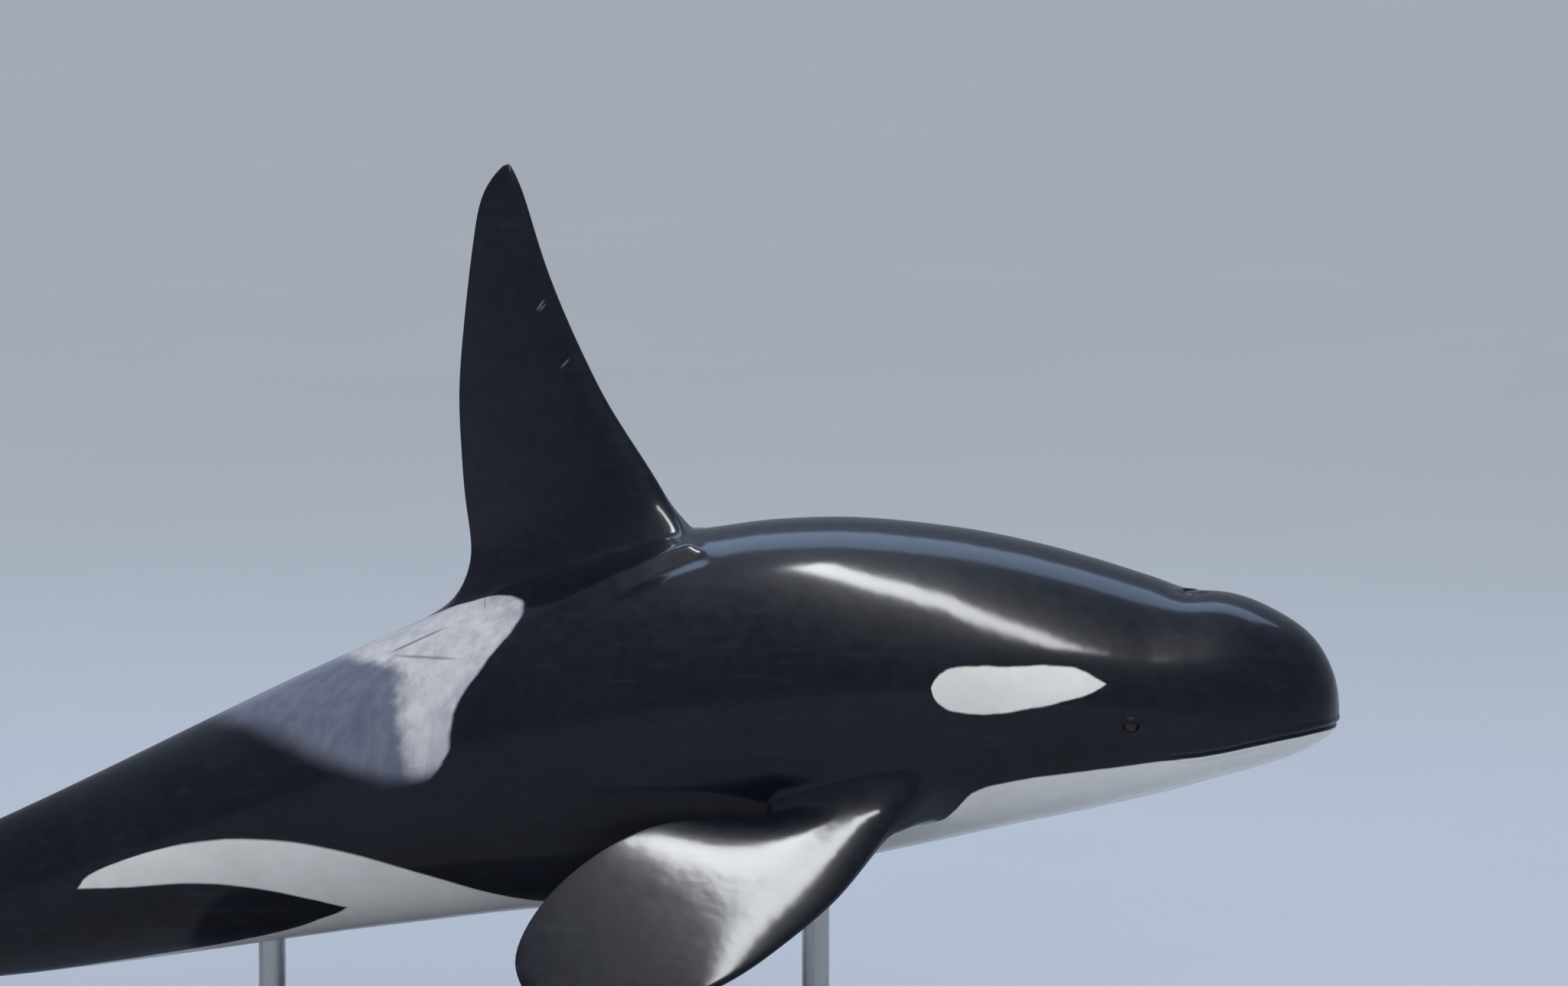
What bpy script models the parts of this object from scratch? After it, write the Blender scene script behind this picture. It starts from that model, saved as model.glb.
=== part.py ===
"""Life-size still model of an adult bull orca, arched as it surfaces, on a plain display stand.

Row frame: metres, +Z up, +X towards the snout, the floor at Z 0 and the origin under the middle of the
stand's base. The animal is symmetric about the plane Y 0. Its body is one smooth closed surface, made as
a coarse cage of rings with fins grown from it and then subdivided, and parted into named pieces by thin
cuts. A point of the body is given by its distance from the snout along the spine, and by how far it lies
to the side of the spine and above it.
"""

import math

import bmesh
import bpy
import numpy as np
from mathutils import Vector
from mathutils.bvhtree import BVHTree

# Gap between pieces that meet, in metres
GAP = 0.0003

# Plain colours of the pieces
SKIN_COLOUR = (0.03, 0.035, 0.05)
BELLY_COLOUR = (0.75, 0.75, 0.72)
EYE_COLOUR = (0.02, 0.015, 0.012)
STAND_COLOUR = (0.30, 0.31, 0.33)

# The body cage: how many points go round each ring, and the columns that the fins' middles follow.
# Column 0 is the belly, 5 the left side, 10 the back and 15 the right side.
SIDES = 20
BACK = 10
LEFT_FLUKE, RIGHT_FLUKE = 5, 15
LEFT_FLIPPER, RIGHT_FLIPPER = 3, 17
SUBDIVISION = 1
FIT_ROUNDS = 4

# Where the fins are rooted along the body, from the snout, and how many rows of faces each root takes
FLIPPER_ROOT, FLIPPER_ROWS = (1.45, 2.31), 5
FIN_ROOT, FIN_ROWS = (2.51, 3.56), 7
FLUKE_ROOT, FLUKE_ROWS = (6.48, 7.06), 5
NOTCH = 7.12

# The world place of the spine at the snout
SNOUT = Vector((2.95, 0.0, 1.49))

# How far the spine, seen going towards the head, rises above level, in degrees, by distance from the snout
SPINE_PITCH = (
    (0.0, -5.5),
    (0.6, -5.5),
    (1.1, -5.0),
    (1.6, -1.0),
    (2.1, 4.0),
    (2.7, 9.5),
    (3.3, 15.5),
    (3.9, 20.0),
    (4.5, 21.5),
    (5.3, 20.0),
    (6.0, 15.0),
    (6.6, 9.0),
    (7.2, 4.0),
    (8.0, 2.0),
)

# Body sections: distance from the snout, height above the spine, depth below it, half width, height of the
# widest point, and the superellipse powers of the upper and the lower half (2 is an ellipse)
SECTIONS = (
    (0.03, 0.140, 0.078, 0.125, -0.010, 2.00, 2.00),
    (0.10, 0.262, 0.135, 0.220, -0.015, 2.10, 2.00),
    (0.20, 0.343, 0.190, 0.295, -0.020, 2.15, 2.00),
    (0.32, 0.396, 0.245, 0.355, -0.025, 2.15, 1.95),
    (0.46, 0.434, 0.300, 0.408, -0.025, 2.10, 1.95),
    (0.60, 0.438, 0.358, 0.450, -0.020, 2.05, 2.00),
    (0.74, 0.452, 0.410, 0.488, -0.010, 1.95, 2.00),
    (0.90, 0.486, 0.465, 0.525, 0.000, 1.90, 2.05),
    (1.20, 0.540, 0.560, 0.582, 0.000, 1.90, 2.10),
    (1.60, 0.594, 0.665, 0.638, 0.000, 1.90, 2.15),
    (2.10, 0.630, 0.755, 0.672, -0.010, 1.90, 2.20),
    (2.65, 0.614, 0.800, 0.675, -0.020, 1.85, 2.20),
    (3.20, 0.545, 0.782, 0.645, -0.020, 1.80, 2.20),
    (3.75, 0.470, 0.705, 0.570, -0.010, 1.80, 2.15),
    (4.40, 0.408, 0.575, 0.455, 0.000, 1.80, 2.00),
    (5.10, 0.340, 0.430, 0.318, 0.000, 1.75, 1.85),
    (5.80, 0.265, 0.290, 0.195, 0.000, 1.65, 1.75),
    (6.30, 0.195, 0.198, 0.125, 0.000, 1.70, 1.80),
    (6.60, 0.145, 0.142, 0.095, 0.000, 1.80, 1.90),
    (6.90, 0.085, 0.080, 0.080, 0.000, 2.00, 2.00),
    (7.06, 0.045, 0.042, 0.060, 0.000, 2.00, 2.00),
)

# The dip of the back round the blowhole: place, reach along the body and to the side, and depth
BLOWHOLE = 0.655
BLOWHOLE_DIP = (0.055, 0.13, 0.017)
BLOWHOLE_RADIUS, BLOWHOLE_WIDTH = 0.058, 0.011
BLOWHOLE_CENTRE = 0.605

# How far a fin's first rings lie between the body and the fin, so that they make a smooth hollow
ROOT_BLENDS = (0.38, 0.72)
LOOP_HOLD, BLEND_HOLD = 0.6, 1.0

# The dorsal fin's leading and trailing edges, as (height, place along X) from the front of its root
FIN_FRONT = Vector((0.376, 0.0, 2.205))
FIN_LEADING = (
    (-0.10, -0.010),
    (0.00, -0.068),
    (0.10, -0.120),
    (0.25, -0.210),
    (0.41, -0.318),
    (0.70, -0.470),
    (1.00, -0.597),
    (1.25, -0.678),
    (1.38, -0.722),
    (1.44, -0.760),
)
FIN_TRAILING = (
    (-0.36, -0.898),
    (-0.20, -0.905),
    (-0.06, -0.917),
    (0.10, -0.938),
    (0.51, -0.960),
    (0.77, -0.942),
    (1.08, -0.906),
    (1.25, -0.880),
    (1.36, -0.838),
    (1.44, -0.760),
)
FIN_HALF_THICKNESS = ((0.0, 0.100), (0.12, 0.074), (0.3, 0.058), (0.6, 0.043), (0.85, 0.029), (1.0, 0.017))
FIN_RINGS = (0.10, 0.20, 0.32, 0.45, 0.58, 0.71, 0.83, 0.925, 0.98)

# Each flipper's outline ahead of and behind its middle line, by distance out from the body's side
FLIPPER_LEADING = (
    (0.0, 0.26),
    (0.2, 0.25),
    (0.4, 0.28),
    (0.8, 0.29),
    (1.1, 0.24),
    (1.35, 0.12),
    (1.48, 0.0),
    (1.56, -0.14),
    (1.59, -0.24),
)
FLIPPER_TRAILING = (
    (0.0, -0.26),
    (0.2, -0.28),
    (0.4, -0.36),
    (0.75, -0.51),
    (1.05, -0.55),
    (1.3, -0.51),
    (1.48, -0.43),
    (1.56, -0.34),
    (1.59, -0.25),
)
FLIPPER_HALF_THICKNESS = ((0.0, 0.10), (0.15, 0.078), (0.5, 0.055), (1.0, 0.040), (1.4, 0.024), (1.58, 0.014))
FLIPPER_RINGS = (0.20, 0.42, 0.68, 0.95, 1.19, 1.38, 1.51, 1.57)
FLIPPER_SWEEP, FLIPPER_DROOP, FLIPPER_TWIST = 36.0, 30.0, 12.0
FLIPPER_TURN, FLIPPER_CURL = 0.6, 0.05

# Each fluke's edges, as distance from the snout, and its thickness and rise, by distance out from the middle
FLUKE_LEADING = (
    (0.06, 6.46),
    (0.15, 6.53),
    (0.3, 6.62),
    (0.5, 6.74),
    (0.75, 6.93),
    (0.95, 7.13),
    (1.08, 7.32),
    (1.14, 7.45),
)
FLUKE_TRAILING = (
    (0.06, 7.13),
    (0.15, 7.20),
    (0.3, 7.235),
    (0.5, 7.245),
    (0.75, 7.28),
    (0.95, 7.36),
    (1.08, 7.445),
    (1.14, 7.485),
)
FLUKE_HALF_THICKNESS = ((0.06, 0.055), (0.15, 0.050), (0.4, 0.038), (0.8, 0.022), (1.14, 0.010))
FLUKE_RISE = ((0.06, 0.0), (0.4, 0.012), (0.8, 0.0), (1.0, -0.035), (1.14, -0.085))
FLUKE_RINGS = (0.20, 0.36, 0.56, 0.76, 0.93, 1.05, 1.115)

# The mouth line, as height above the spine by distance from the snout, and how the jaw's back goes down from it
MOUTH_LINE = (
    (-0.2, -0.030),
    (0.0, -0.030),
    (0.15, -0.056),
    (0.30, -0.097),
    (0.45, -0.142),
    (0.56, -0.166),
    (0.62, -0.170),
)
MOUTH_CORNER = 0.62
JAW_BACK = ((0.645, -0.20), (0.68, -0.28), (0.74, -0.38), (0.84, -0.52))
LIP_GROOVE = 0.007

# Each eye: its place, its ball's size, how deep the ball's centre lies, and the lids' half length, half height
# and thickness
EYE = (0.775, -0.058)
EYE_RADIUS, EYE_DEPTH = 0.030, 0.021
LIDS = (0.044, 0.030, 0.009)

# Where the body is parted, by distance from the snout, and how far out the fins' cuts lie
HEAD_END, CHEST_END, MIDBODY_END, HINDBODY_END = 1.315, 2.437, 3.87, 5.47
FIN_CUT, FLIPPER_CUT = 0.09, 0.05
FLUKE_CUT = ((6.50, 0.130), (7.12, 0.042))

# The stand: its base, and its two rods by distance of their tops from the snout
BASE_SIZE = (3.4, 1.5, 0.04)
BASE_CORNER, BASE_EDGE = 0.12, 0.006
ROD_PLACES = (2.15, 4.55)
ROD_RADIUS = 0.055


def smooth_curve(points, at):
    """A monotone cubic through (x, y) points, so that it has no bumps that the points don't."""
    x, y = np.array(points, float).T
    at = np.atleast_1d(np.asarray(at, float))
    step = np.diff(x)
    slope = np.diff(y) / step
    tangent = np.zeros(len(x))
    tangent[0], tangent[-1] = slope[0], slope[-1]
    for k in range(1, len(x) - 1):
        if slope[k - 1] * slope[k] > 0:
            before, after = 2 * step[k] + step[k - 1], step[k] + 2 * step[k - 1]
            tangent[k] = (before + after) / (before / slope[k - 1] + after / slope[k])
    k = np.clip(np.searchsorted(x, at) - 1, 0, len(step) - 1)
    t = (np.clip(at, x[0], x[-1]) - x[k]) / step[k]
    value = (
        y[k] * (1 + 2 * t) * (1 - t) ** 2
        + tangent[k] * step[k] * t * (1 - t) ** 2
        + y[k + 1] * t * t * (3 - 2 * t)
        + tangent[k + 1] * step[k] * t * t * (t - 1)
    )
    return value if len(value) > 1 else float(value[0])


# The spine, walked in short steps from the snout towards the tail
SPINE_STEP = 0.01
SPINE_S = np.arange(0.0, 8.0, SPINE_STEP)
SPINE_ANGLE = np.radians(smooth_curve(SPINE_PITCH, SPINE_S))
SPINE_X = SNOUT.x - np.concatenate([[0], np.cumsum(np.cos(SPINE_ANGLE) * SPINE_STEP)[:-1]])
SPINE_Z = SNOUT.z - np.concatenate([[0], np.cumsum(np.sin(SPINE_ANGLE) * SPINE_STEP)[:-1]])


def body_point(s, side, up):
    """The world point that lies side and up from the spine, at distance s from the snout."""
    angle = np.interp(s, SPINE_S, SPINE_ANGLE)
    x = np.interp(s, SPINE_S, SPINE_X) - up * math.sin(angle)
    z = np.interp(s, SPINE_S, SPINE_Z) + up * math.cos(angle)
    return Vector((x, side, z))


def section_size(s, column):
    return smooth_curve([(row[0], row[column]) for row in SECTIONS], s)


def section_point(s, turn):
    """A point of the body's surface at distance s from the snout, and turn degrees round from the belly."""
    up, down, half_width, middle, upper_power, lower_power = (
        section_size(s, column) for column in range(1, 7)
    )
    angle = math.radians(turn - 90.0)
    level = math.sin(angle)
    across = math.cos(angle)
    power = 2.0 / (upper_power if level > 0 else lower_power)
    reach = up - middle if level > 0 else down + middle
    side = half_width * math.copysign(abs(across) ** power, across)
    height = middle + reach * math.copysign(abs(level) ** power, level)
    if level > 0:
        along, aside, depth = BLOWHOLE_DIP
        height -= depth * math.exp(-(((s - BLOWHOLE) / along) ** 2) - (side / aside) ** 2)
    return body_point(s, side, height)


def ring_places():
    """Distances from the snout of the cage's rings, in even steps between the ends of the fins' roots."""
    head = [0.03, 0.08, 0.14, 0.21, 0.29, 0.38, 0.47, 0.56, 0.655, 0.75, 0.85, 0.97, 1.11, 1.27]
    flipper = list(np.linspace(*FLIPPER_ROOT, FLIPPER_ROWS + 1))
    fin = list(np.linspace(*FIN_ROOT, FIN_ROWS + 1))
    loin = [3.76, 3.97, 4.21, 4.47, 4.76, 5.07, 5.39, 5.71, 6.00, 6.25]
    fluke = list(np.linspace(*FLUKE_ROOT, FLUKE_ROWS + 1))
    rings = head + flipper + fin + loin + fluke
    first = {
        "flipper": len(head),
        "fin": len(head) + len(flipper),
        "fluke": len(rings) - len(fluke),
    }
    return rings, first


def foil(chord):
    """Half thickness of a streamlined section at a share of its chord, as a share of its greatest."""
    c = np.clip(chord, 0.0, 1.0)
    return 2.969 * np.sqrt(c) - 1.26 * c - 3.516 * c**2 + 2.843 * c**3 - 1.015 * c**4


class Cage:
    """The coarse mesh: points, faces as lists of their numbers, and how closely each point is to be met."""

    def __init__(self):
        self.points = []
        self.faces = []
        self.hold = []

    def add(self, point, hold=1.0):
        self.points.append(Vector(point))
        self.hold.append(hold)
        return len(self.points) - 1

    def body(self, rings, holes):
        """Rings joined by faces, closed by a point at each end. holes is a set of (row, column) left out."""
        numbers = [
            [self.add(section_point(s, 360.0 * column / SIDES)) for column in range(SIDES)] for s in rings
        ]
        for row in range(len(rings) - 1):
            for column in range(SIDES):
                if (row, column) not in holes:
                    after = (column + 1) % SIDES
                    ring, following = numbers[row], numbers[row + 1]
                    self.faces.append([ring[column], ring[after], following[after], following[column]])
        snout = self.add(body_point(0.0, 0.0, 0.0))
        notch = self.add(body_point(NOTCH, 0.0, 0.0))
        for column in range(SIDES):
            after = (column + 1) % SIDES
            self.faces.append([snout, numbers[0][after], numbers[0][column]])
            self.faces.append([notch, numbers[-1][column], numbers[-1][after]])
        return numbers

    def join(self, loop, following):
        for k in range(len(loop)):
            after = (k + 1) % len(loop)
            self.faces.append([loop[k], loop[after], following[after], following[k]])

    def grow(self, numbers, first_row, rows, middle, turn, shape, foot, rings):
        """Grows a fin from the hole two columns wide round column middle.

        shape(reach, chord, side) gives its points. turn is 1 where the fin's positive side faces the next
        column, or -1. foot is the reach at which the fin would meet the body without a hollow between them.
        """
        one, other = (middle + turn) % SIDES, (middle - turn) % SIDES
        last_row = first_row + rows
        loop = [numbers[first_row][middle]]
        loop += [numbers[row][one] for row in range(first_row, last_row + 1)]
        loop += [numbers[last_row][middle]]
        loop += [numbers[row][other] for row in range(last_row, first_row - 1, -1)]
        chords = [0.5 - 0.5 * math.cos(math.pi * (row + 0.55) / (rows + 1.1)) for row in range(rows + 1)]
        places = [(0.0, 0.0)] + [(c, 1.0) for c in chords]
        places += [(1.0, 0.0)] + [(c, -1.0) for c in reversed(chords)]
        start = [self.points[number] for number in loop]
        for number in loop:
            self.hold[number] = LOOP_HOLD
        corner = [shape(foot, chord, side) for chord, side in places]
        end = [shape(rings[0], chord, side) for chord, side in places]
        for t in ROOT_BLENDS:
            following = [
                self.add(p * (1 - t) ** 2 + q * 2 * t * (1 - t) + r * t * t, BLEND_HOLD)
                for p, q, r in zip(start, corner, end)
            ]
            self.join(loop, following)
            loop = following
        for reach in rings:
            following = [self.add(shape(reach, chord, side)) for chord, side in places]
            self.join(loop, following)
            loop = following
        front, rear = loop[0], loop[rows + 2]
        near, far = loop[1 : rows + 2], loop[: rows + 2 : -1]
        tip = rings[-1] + (rings[-1] - rings[-2]) * 0.5
        ridge = [front] + [self.add(shape(tip, chord, 0.0)) for chord in chords[1:-1]] + [rear]
        for k in range(rows):
            self.faces.append([near[k], near[k + 1], ridge[k + 1], ridge[k]])
            self.faces.append([ridge[k], ridge[k + 1], far[k + 1], far[k]])


def fin_shape(reach, chord, side):
    """The dorsal fin: reach runs from its root to its tip, chord from its leading to its trailing edge."""
    front_height = 0.03 + 1.40 * min(reach, 1.0)
    rear_height = -0.24 + 1.66 * min(reach, 1.0)
    front = smooth_curve(FIN_LEADING, front_height)
    rear = smooth_curve(FIN_TRAILING, rear_height)
    height = front_height + (rear_height - front_height) * chord
    along = front + (rear - front) * chord
    thick = smooth_curve(FIN_HALF_THICKNESS, min(reach, 1.0)) * foil(chord) * side
    return FIN_FRONT + Vector((along, thick, height + max(reach - 1.0, 0.0)))


def flipper_shape(hand):
    """The shape of the flipper on one side of the body. hand is 1 at +Y, the left side, and -1 at -Y."""
    middle = 0.5 * (FLIPPER_ROOT[0] + FLIPPER_ROOT[1])
    root = section_point(middle, 360.0 * LEFT_FLIPPER / SIDES)
    sweep, droop, twist = (math.radians(a) for a in (FLIPPER_SWEEP, FLIPPER_DROOP, FLIPPER_TWIST))
    out = Vector((-math.sin(sweep), math.cos(sweep) * math.cos(droop), -math.cos(sweep) * math.sin(droop)))
    beside = (body_point(middle - 0.1, 0.0, 0.0) - body_point(middle + 0.1, 0.0, 0.0)).normalized()
    ahead = Vector((math.cos(twist), 0.0, -math.sin(twist)))
    ahead = (ahead - out * ahead.dot(out)).normalized()

    def shape(reach, chord, side):
        turned = min(reach / FLIPPER_TURN, 1.0)
        turned = turned * turned * (3.0 - 2.0 * turned)
        across = (beside * (1.0 - turned) + ahead * turned).normalized()
        lift = across.cross(out).normalized()
        front = smooth_curve(FLIPPER_LEADING, reach)
        rear = smooth_curve(FLIPPER_TRAILING, reach)
        along = front + (rear - front) * chord
        thick = smooth_curve(FLIPPER_HALF_THICKNESS, reach) * foil(chord) * side
        point = out * reach + across * along + lift * (thick - FLIPPER_CURL * reach * reach)
        return Vector((root.x + point.x, hand * (root.y + point.y), root.z + point.z))

    return shape


def fluke_shape(hand):
    def shape(reach, chord, side):
        front = smooth_curve(FLUKE_LEADING, reach)
        rear = smooth_curve(FLUKE_TRAILING, reach)
        thick = smooth_curve(FLUKE_HALF_THICKNESS, reach) * foil(chord) * side
        return body_point(front + (rear - front) * chord, hand * reach, smooth_curve(FLUKE_RISE, reach) + thick)

    return shape


def whole_cage():
    rings, first = ring_places()
    fins = [
        (first["fin"], FIN_ROWS, BACK, -1, fin_shape, -0.04, FIN_RINGS),
        (first["flipper"], FLIPPER_ROWS, LEFT_FLIPPER, 1, flipper_shape(1), 0.0, FLIPPER_RINGS),
        (first["flipper"], FLIPPER_ROWS, RIGHT_FLIPPER, -1, flipper_shape(-1), 0.0, FLIPPER_RINGS),
        (first["fluke"], FLUKE_ROWS, LEFT_FLUKE, 1, fluke_shape(1), 0.11, FLUKE_RINGS),
        (first["fluke"], FLUKE_ROWS, RIGHT_FLUKE, -1, fluke_shape(-1), 0.11, FLUKE_RINGS),
    ]
    holes = {
        (row, column % SIDES)
        for start, rows, middle, *_ in fins
        for row in range(start, start + rows)
        for column in (middle - 1, middle)
    }
    cage = Cage()
    numbers = cage.body(rings, holes)
    for start, rows, middle, turn, shape, foot, reaches in fins:
        cage.grow(numbers, start, rows, middle, turn, shape, foot, reaches)
    return cage


def mesh_object(name, points, faces):
    mesh = bpy.data.meshes.new(name)
    mesh.from_pydata([tuple(p) for p in points], [], faces)
    mesh.update()
    obj = bpy.data.objects.new(name, mesh)
    bpy.context.scene.collection.objects.link(obj)
    return obj


def evaluated_mesh(obj):
    bpy.context.view_layer.update()
    return bpy.data.meshes.new_from_object(obj.evaluated_get(bpy.context.evaluated_depsgraph_get()))


def fitted(cage):
    """The cage as an object with its subdivision, fitted so that its smooth surface meets its points."""
    obj = mesh_object("whole", cage.points, cage.faces)
    work = bmesh.new()
    work.from_mesh(obj.data)
    bmesh.ops.recalc_face_normals(work, faces=work.faces)
    work.to_mesh(obj.data)
    work.free()
    subdivide = obj.modifiers.new("smooth", "SUBSURF")
    subdivide.levels = subdivide.render_levels = SUBDIVISION
    aim = np.array([tuple(p) for p in cage.points])
    hold = np.array(cage.hold)[:, None]
    cage_points = aim.copy()
    for _ in range(FIT_ROUNDS):
        smooth = evaluated_mesh(obj)
        reached = np.empty(len(smooth.vertices) * 3)
        smooth.vertices.foreach_get("co", reached)
        cage_points += (aim - reached.reshape(-1, 3)[: len(aim)]) * hold
        obj.data.vertices.foreach_set("co", cage_points.ravel())
        obj.data.update()
        bpy.data.meshes.remove(smooth)
    return obj


def along_spine(s):
    """The direction of the spine at distance s from the snout, towards the tail."""
    angle = np.interp(s, SPINE_S, SPINE_ANGLE)
    return Vector((-math.cos(angle), 0.0, -math.sin(angle)))


def cut_place(s):
    """The plane across the body at distance s from the snout, as a point and a normal towards the tail."""
    return body_point(s, 0.0, 0.0), along_spine(s)


def fin_plane():
    """The plane at the dorsal fin's root, with its normal upwards."""
    front, rear = (body_point(s, 0.0, section_size(s, 1) + FIN_CUT) for s in FIN_ROOT)
    return (front + rear) / 2.0, (front - rear).cross(Vector((0.0, 1.0, 0.0))).normalized()


def flipper_plane(hand):
    """The plane at a flipper's root, with its normal away from the body."""
    s, turn = 0.5 * (FLIPPER_ROOT[0] + FLIPPER_ROOT[1]), 360.0 * LEFT_FLIPPER / SIDES
    here = section_point(s, turn)
    round_body = section_point(s, turn + 2.0) - section_point(s, turn - 2.0)
    out = round_body.cross(section_point(s + 0.05, turn) - section_point(s - 0.05, turn)).normalized()
    if out.y < 0.0:
        out.negate()
    place = here + out * FLIPPER_CUT
    return Vector((place.x, hand * place.y, place.z)), Vector((out.x, hand * out.y, out.z))


def fluke_plane(hand):
    """The plane at a fluke's root, with its normal away from the tail."""
    (front_s, front_y), (rear_s, rear_y) = FLUKE_CUT
    front = body_point(front_s, hand * front_y, 0.0)
    rear = body_point(rear_s, hand * rear_y, 0.0)
    up = body_point(front_s, 0.0, 1.0) - body_point(front_s, 0.0, 0.0)
    out = (front - rear).cross(up).normalized()
    if out.y * hand < 0.0:
        out.negate()
    return front, out


def cut_piece(mesh, cuts):
    """A closed copy of the mesh, cut by planes, each with 1 to keep its far side or -1 its near side."""
    work = bmesh.new()
    work.from_mesh(mesh)
    for (place, normal), keep in cuts:
        away = normal * keep
        bmesh.ops.bisect_plane(
            work,
            geom=work.verts[:] + work.edges[:] + work.faces[:],
            dist=1e-7,
            plane_co=place + away * GAP / 2.0,
            plane_no=away,
            clear_inner=True,
        )
        open_edges = [edge for edge in work.edges if edge.is_boundary]
        bmesh.ops.holes_fill(work, edges=open_edges, sides=0)
    bmesh.ops.recalc_face_normals(work, faces=work.faces)
    work.normal_update()
    piece = bpy.data.meshes.new("piece")
    work.to_mesh(piece)
    work.free()
    return piece


def add_node(name, mesh, colour):
    """Puts a mesh in the scene as a named piece, with its own plain colour."""
    obj = bpy.data.objects.new(name, mesh)
    bpy.context.scene.collection.objects.link(obj)
    mesh.materials.clear()
    material = bpy.data.materials.new(name)
    material.diffuse_color = (*colour, 1.0)
    mesh.materials.append(material)
    return obj


def combined(obj, other, operation):
    """Changes obj by another solid, which is then removed. operation is UNION, DIFFERENCE or INTERSECT."""
    modifier = obj.modifiers.new("combine", "BOOLEAN")
    modifier.operation = operation
    modifier.solver = "EXACT"
    modifier.object = other
    mesh = evaluated_mesh(obj)
    obj.modifiers.remove(modifier)
    obj.data = mesh
    bpy.data.objects.remove(other)
    return obj


def closed_object(name, points, faces):
    """An object from points and faces, with its faces turned outwards."""
    obj = mesh_object(name, points, faces)
    work = bmesh.new()
    work.from_mesh(obj.data)
    bmesh.ops.recalc_face_normals(work, faces=work.faces)
    work.to_mesh(obj.data)
    work.free()
    return obj


def swept(name, places, profiles):
    """A closed solid from equal loops of points, one at each place, with a flat face at each end."""
    count = len(profiles[0])
    points = [place + offset for place, profile in zip(places, profiles) for offset in profile]
    faces = []
    for row in range(len(places) - 1):
        here, following = row * count, (row + 1) * count
        for k in range(count):
            after = (k + 1) % count
            faces.append([here + k, here + after, following + after, following + k])
    faces.append(list(range(count)))
    faces.append([(len(places) - 1) * count + k for k in range(count)])
    return closed_object(name, points, faces)


def mouth_height(s):
    return smooth_curve(MOUTH_LINE, s)


def jaw_block(shift):
    """The block that holds the lower jaw, as wide as the head, moved down and forwards by shift."""
    line = [(s, mouth_height(s)) for s in np.linspace(-0.15, MOUTH_CORNER, 17)] + list(JAW_BACK)
    outline = [(s - shift, up - shift) for s, up in line]
    outline += [(JAW_BACK[-1][0] - shift, -0.9), (-0.15 - shift, -0.9)]
    sides = [[body_point(s, 0.0, up) + Vector((0.0, y, 0.0)) for s, up in outline] for y in (-0.8, 0.8)]
    origin = Vector((0.0, 0.0, 0.0))
    return swept("jaw_block", [origin, origin], sides)


def body_point_ahead(s, side, up):
    """A point on the spine's frame, also ahead of the snout, where the frame runs on straight."""
    return body_point(max(s, 0.0), side, up) - along_spine(0.0) * max(-s, 0.0)


def mouth_path(surface):
    """Points along the line of the mouth on the surface, from the left corner round the snout to the right."""
    left = []
    for s in np.linspace(MOUTH_CORNER, 0.05, 15):
        start = body_point(s, 1.5, mouth_height(s))
        hit, normal, _, _ = surface.ray_cast(start, Vector((0.0, -1.0, 0.0)))
        left.append((hit, normal))
    widest = left[-1][0].y
    front = []
    for share in (0.78, 0.5, 0.2, 0.0):
        start = body_point_ahead(-0.5, widest * share, mouth_height(0.0))
        hit, normal, _, _ = surface.ray_cast(start, along_spine(0.0))
        front.append((hit, normal))
    half = left + front
    mirrored = [(Vector((p.x, -p.y, p.z)), Vector((n.x, -n.y, n.z))) for p, n in reversed(half[:-1])]
    return half + mirrored


def surface_tube(name, path, radius, sides=8):
    """A round cutter along a path of (place, normal) that lies on a surface, with tapered ends."""
    places, profiles = [], []
    for k, (place, normal) in enumerate(path):
        before, after = path[max(k - 1, 0)][0], path[min(k + 1, len(path) - 1)][0]
        ahead = (after - before).normalized()
        across = ahead.cross(normal).normalized()
        up = across.cross(ahead).normalized()
        size = radius * (0.45 if k in (0, len(path) - 1) else 1.0)
        places.append(place + ahead * (0.0 if 0 < k < len(path) - 1 else 0.01 * (-1 if k == 0 else 1)))
        profiles.append(
            [
                across * (size * math.cos(a)) + up * (size * math.sin(a))
                for a in (2.0 * math.pi * (j + 0.5) / sides for j in range(sides))
            ]
        )
    return swept(name, places, profiles)


def lid_ring(place, ahead, up, out):
    """An oval ring round the eye, lying on the skin."""
    half_length, half_height, thickness = LIDS
    steps, sides = 24, 8
    points, faces = [], []
    for k in range(steps):
        angle = 2.0 * math.pi * k / steps
        spoke = ahead * (half_length * math.cos(angle)) + up * (half_height * math.sin(angle))
        outward = (ahead * (math.cos(angle) / half_length) + up * (math.sin(angle) / half_height)).normalized()
        for j in range(sides):
            turn = 2.0 * math.pi * j / sides
            round_lid = outward * (1.5 * thickness * math.cos(turn)) + out * (thickness * math.sin(turn))
            points.append(place + spoke + round_lid)
    for k in range(steps):
        for j in range(sides):
            after, nearby = (k + 1) % steps, (j + 1) % sides
            faces.append([k * sides + j, k * sides + nearby, after * sides + nearby, after * sides + j])
    return closed_object("lids", points, faces)


def ball(name, place, radius, fineness):
    work = bmesh.new()
    bmesh.ops.create_uvsphere(work, u_segments=2 * fineness, v_segments=fineness, radius=radius)
    bmesh.ops.translate(work, verts=work.verts, vec=place)
    mesh = bpy.data.meshes.new(name)
    work.to_mesh(mesh)
    work.free()
    obj = bpy.data.objects.new(name, mesh)
    bpy.context.scene.collection.objects.link(obj)
    return obj


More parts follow.
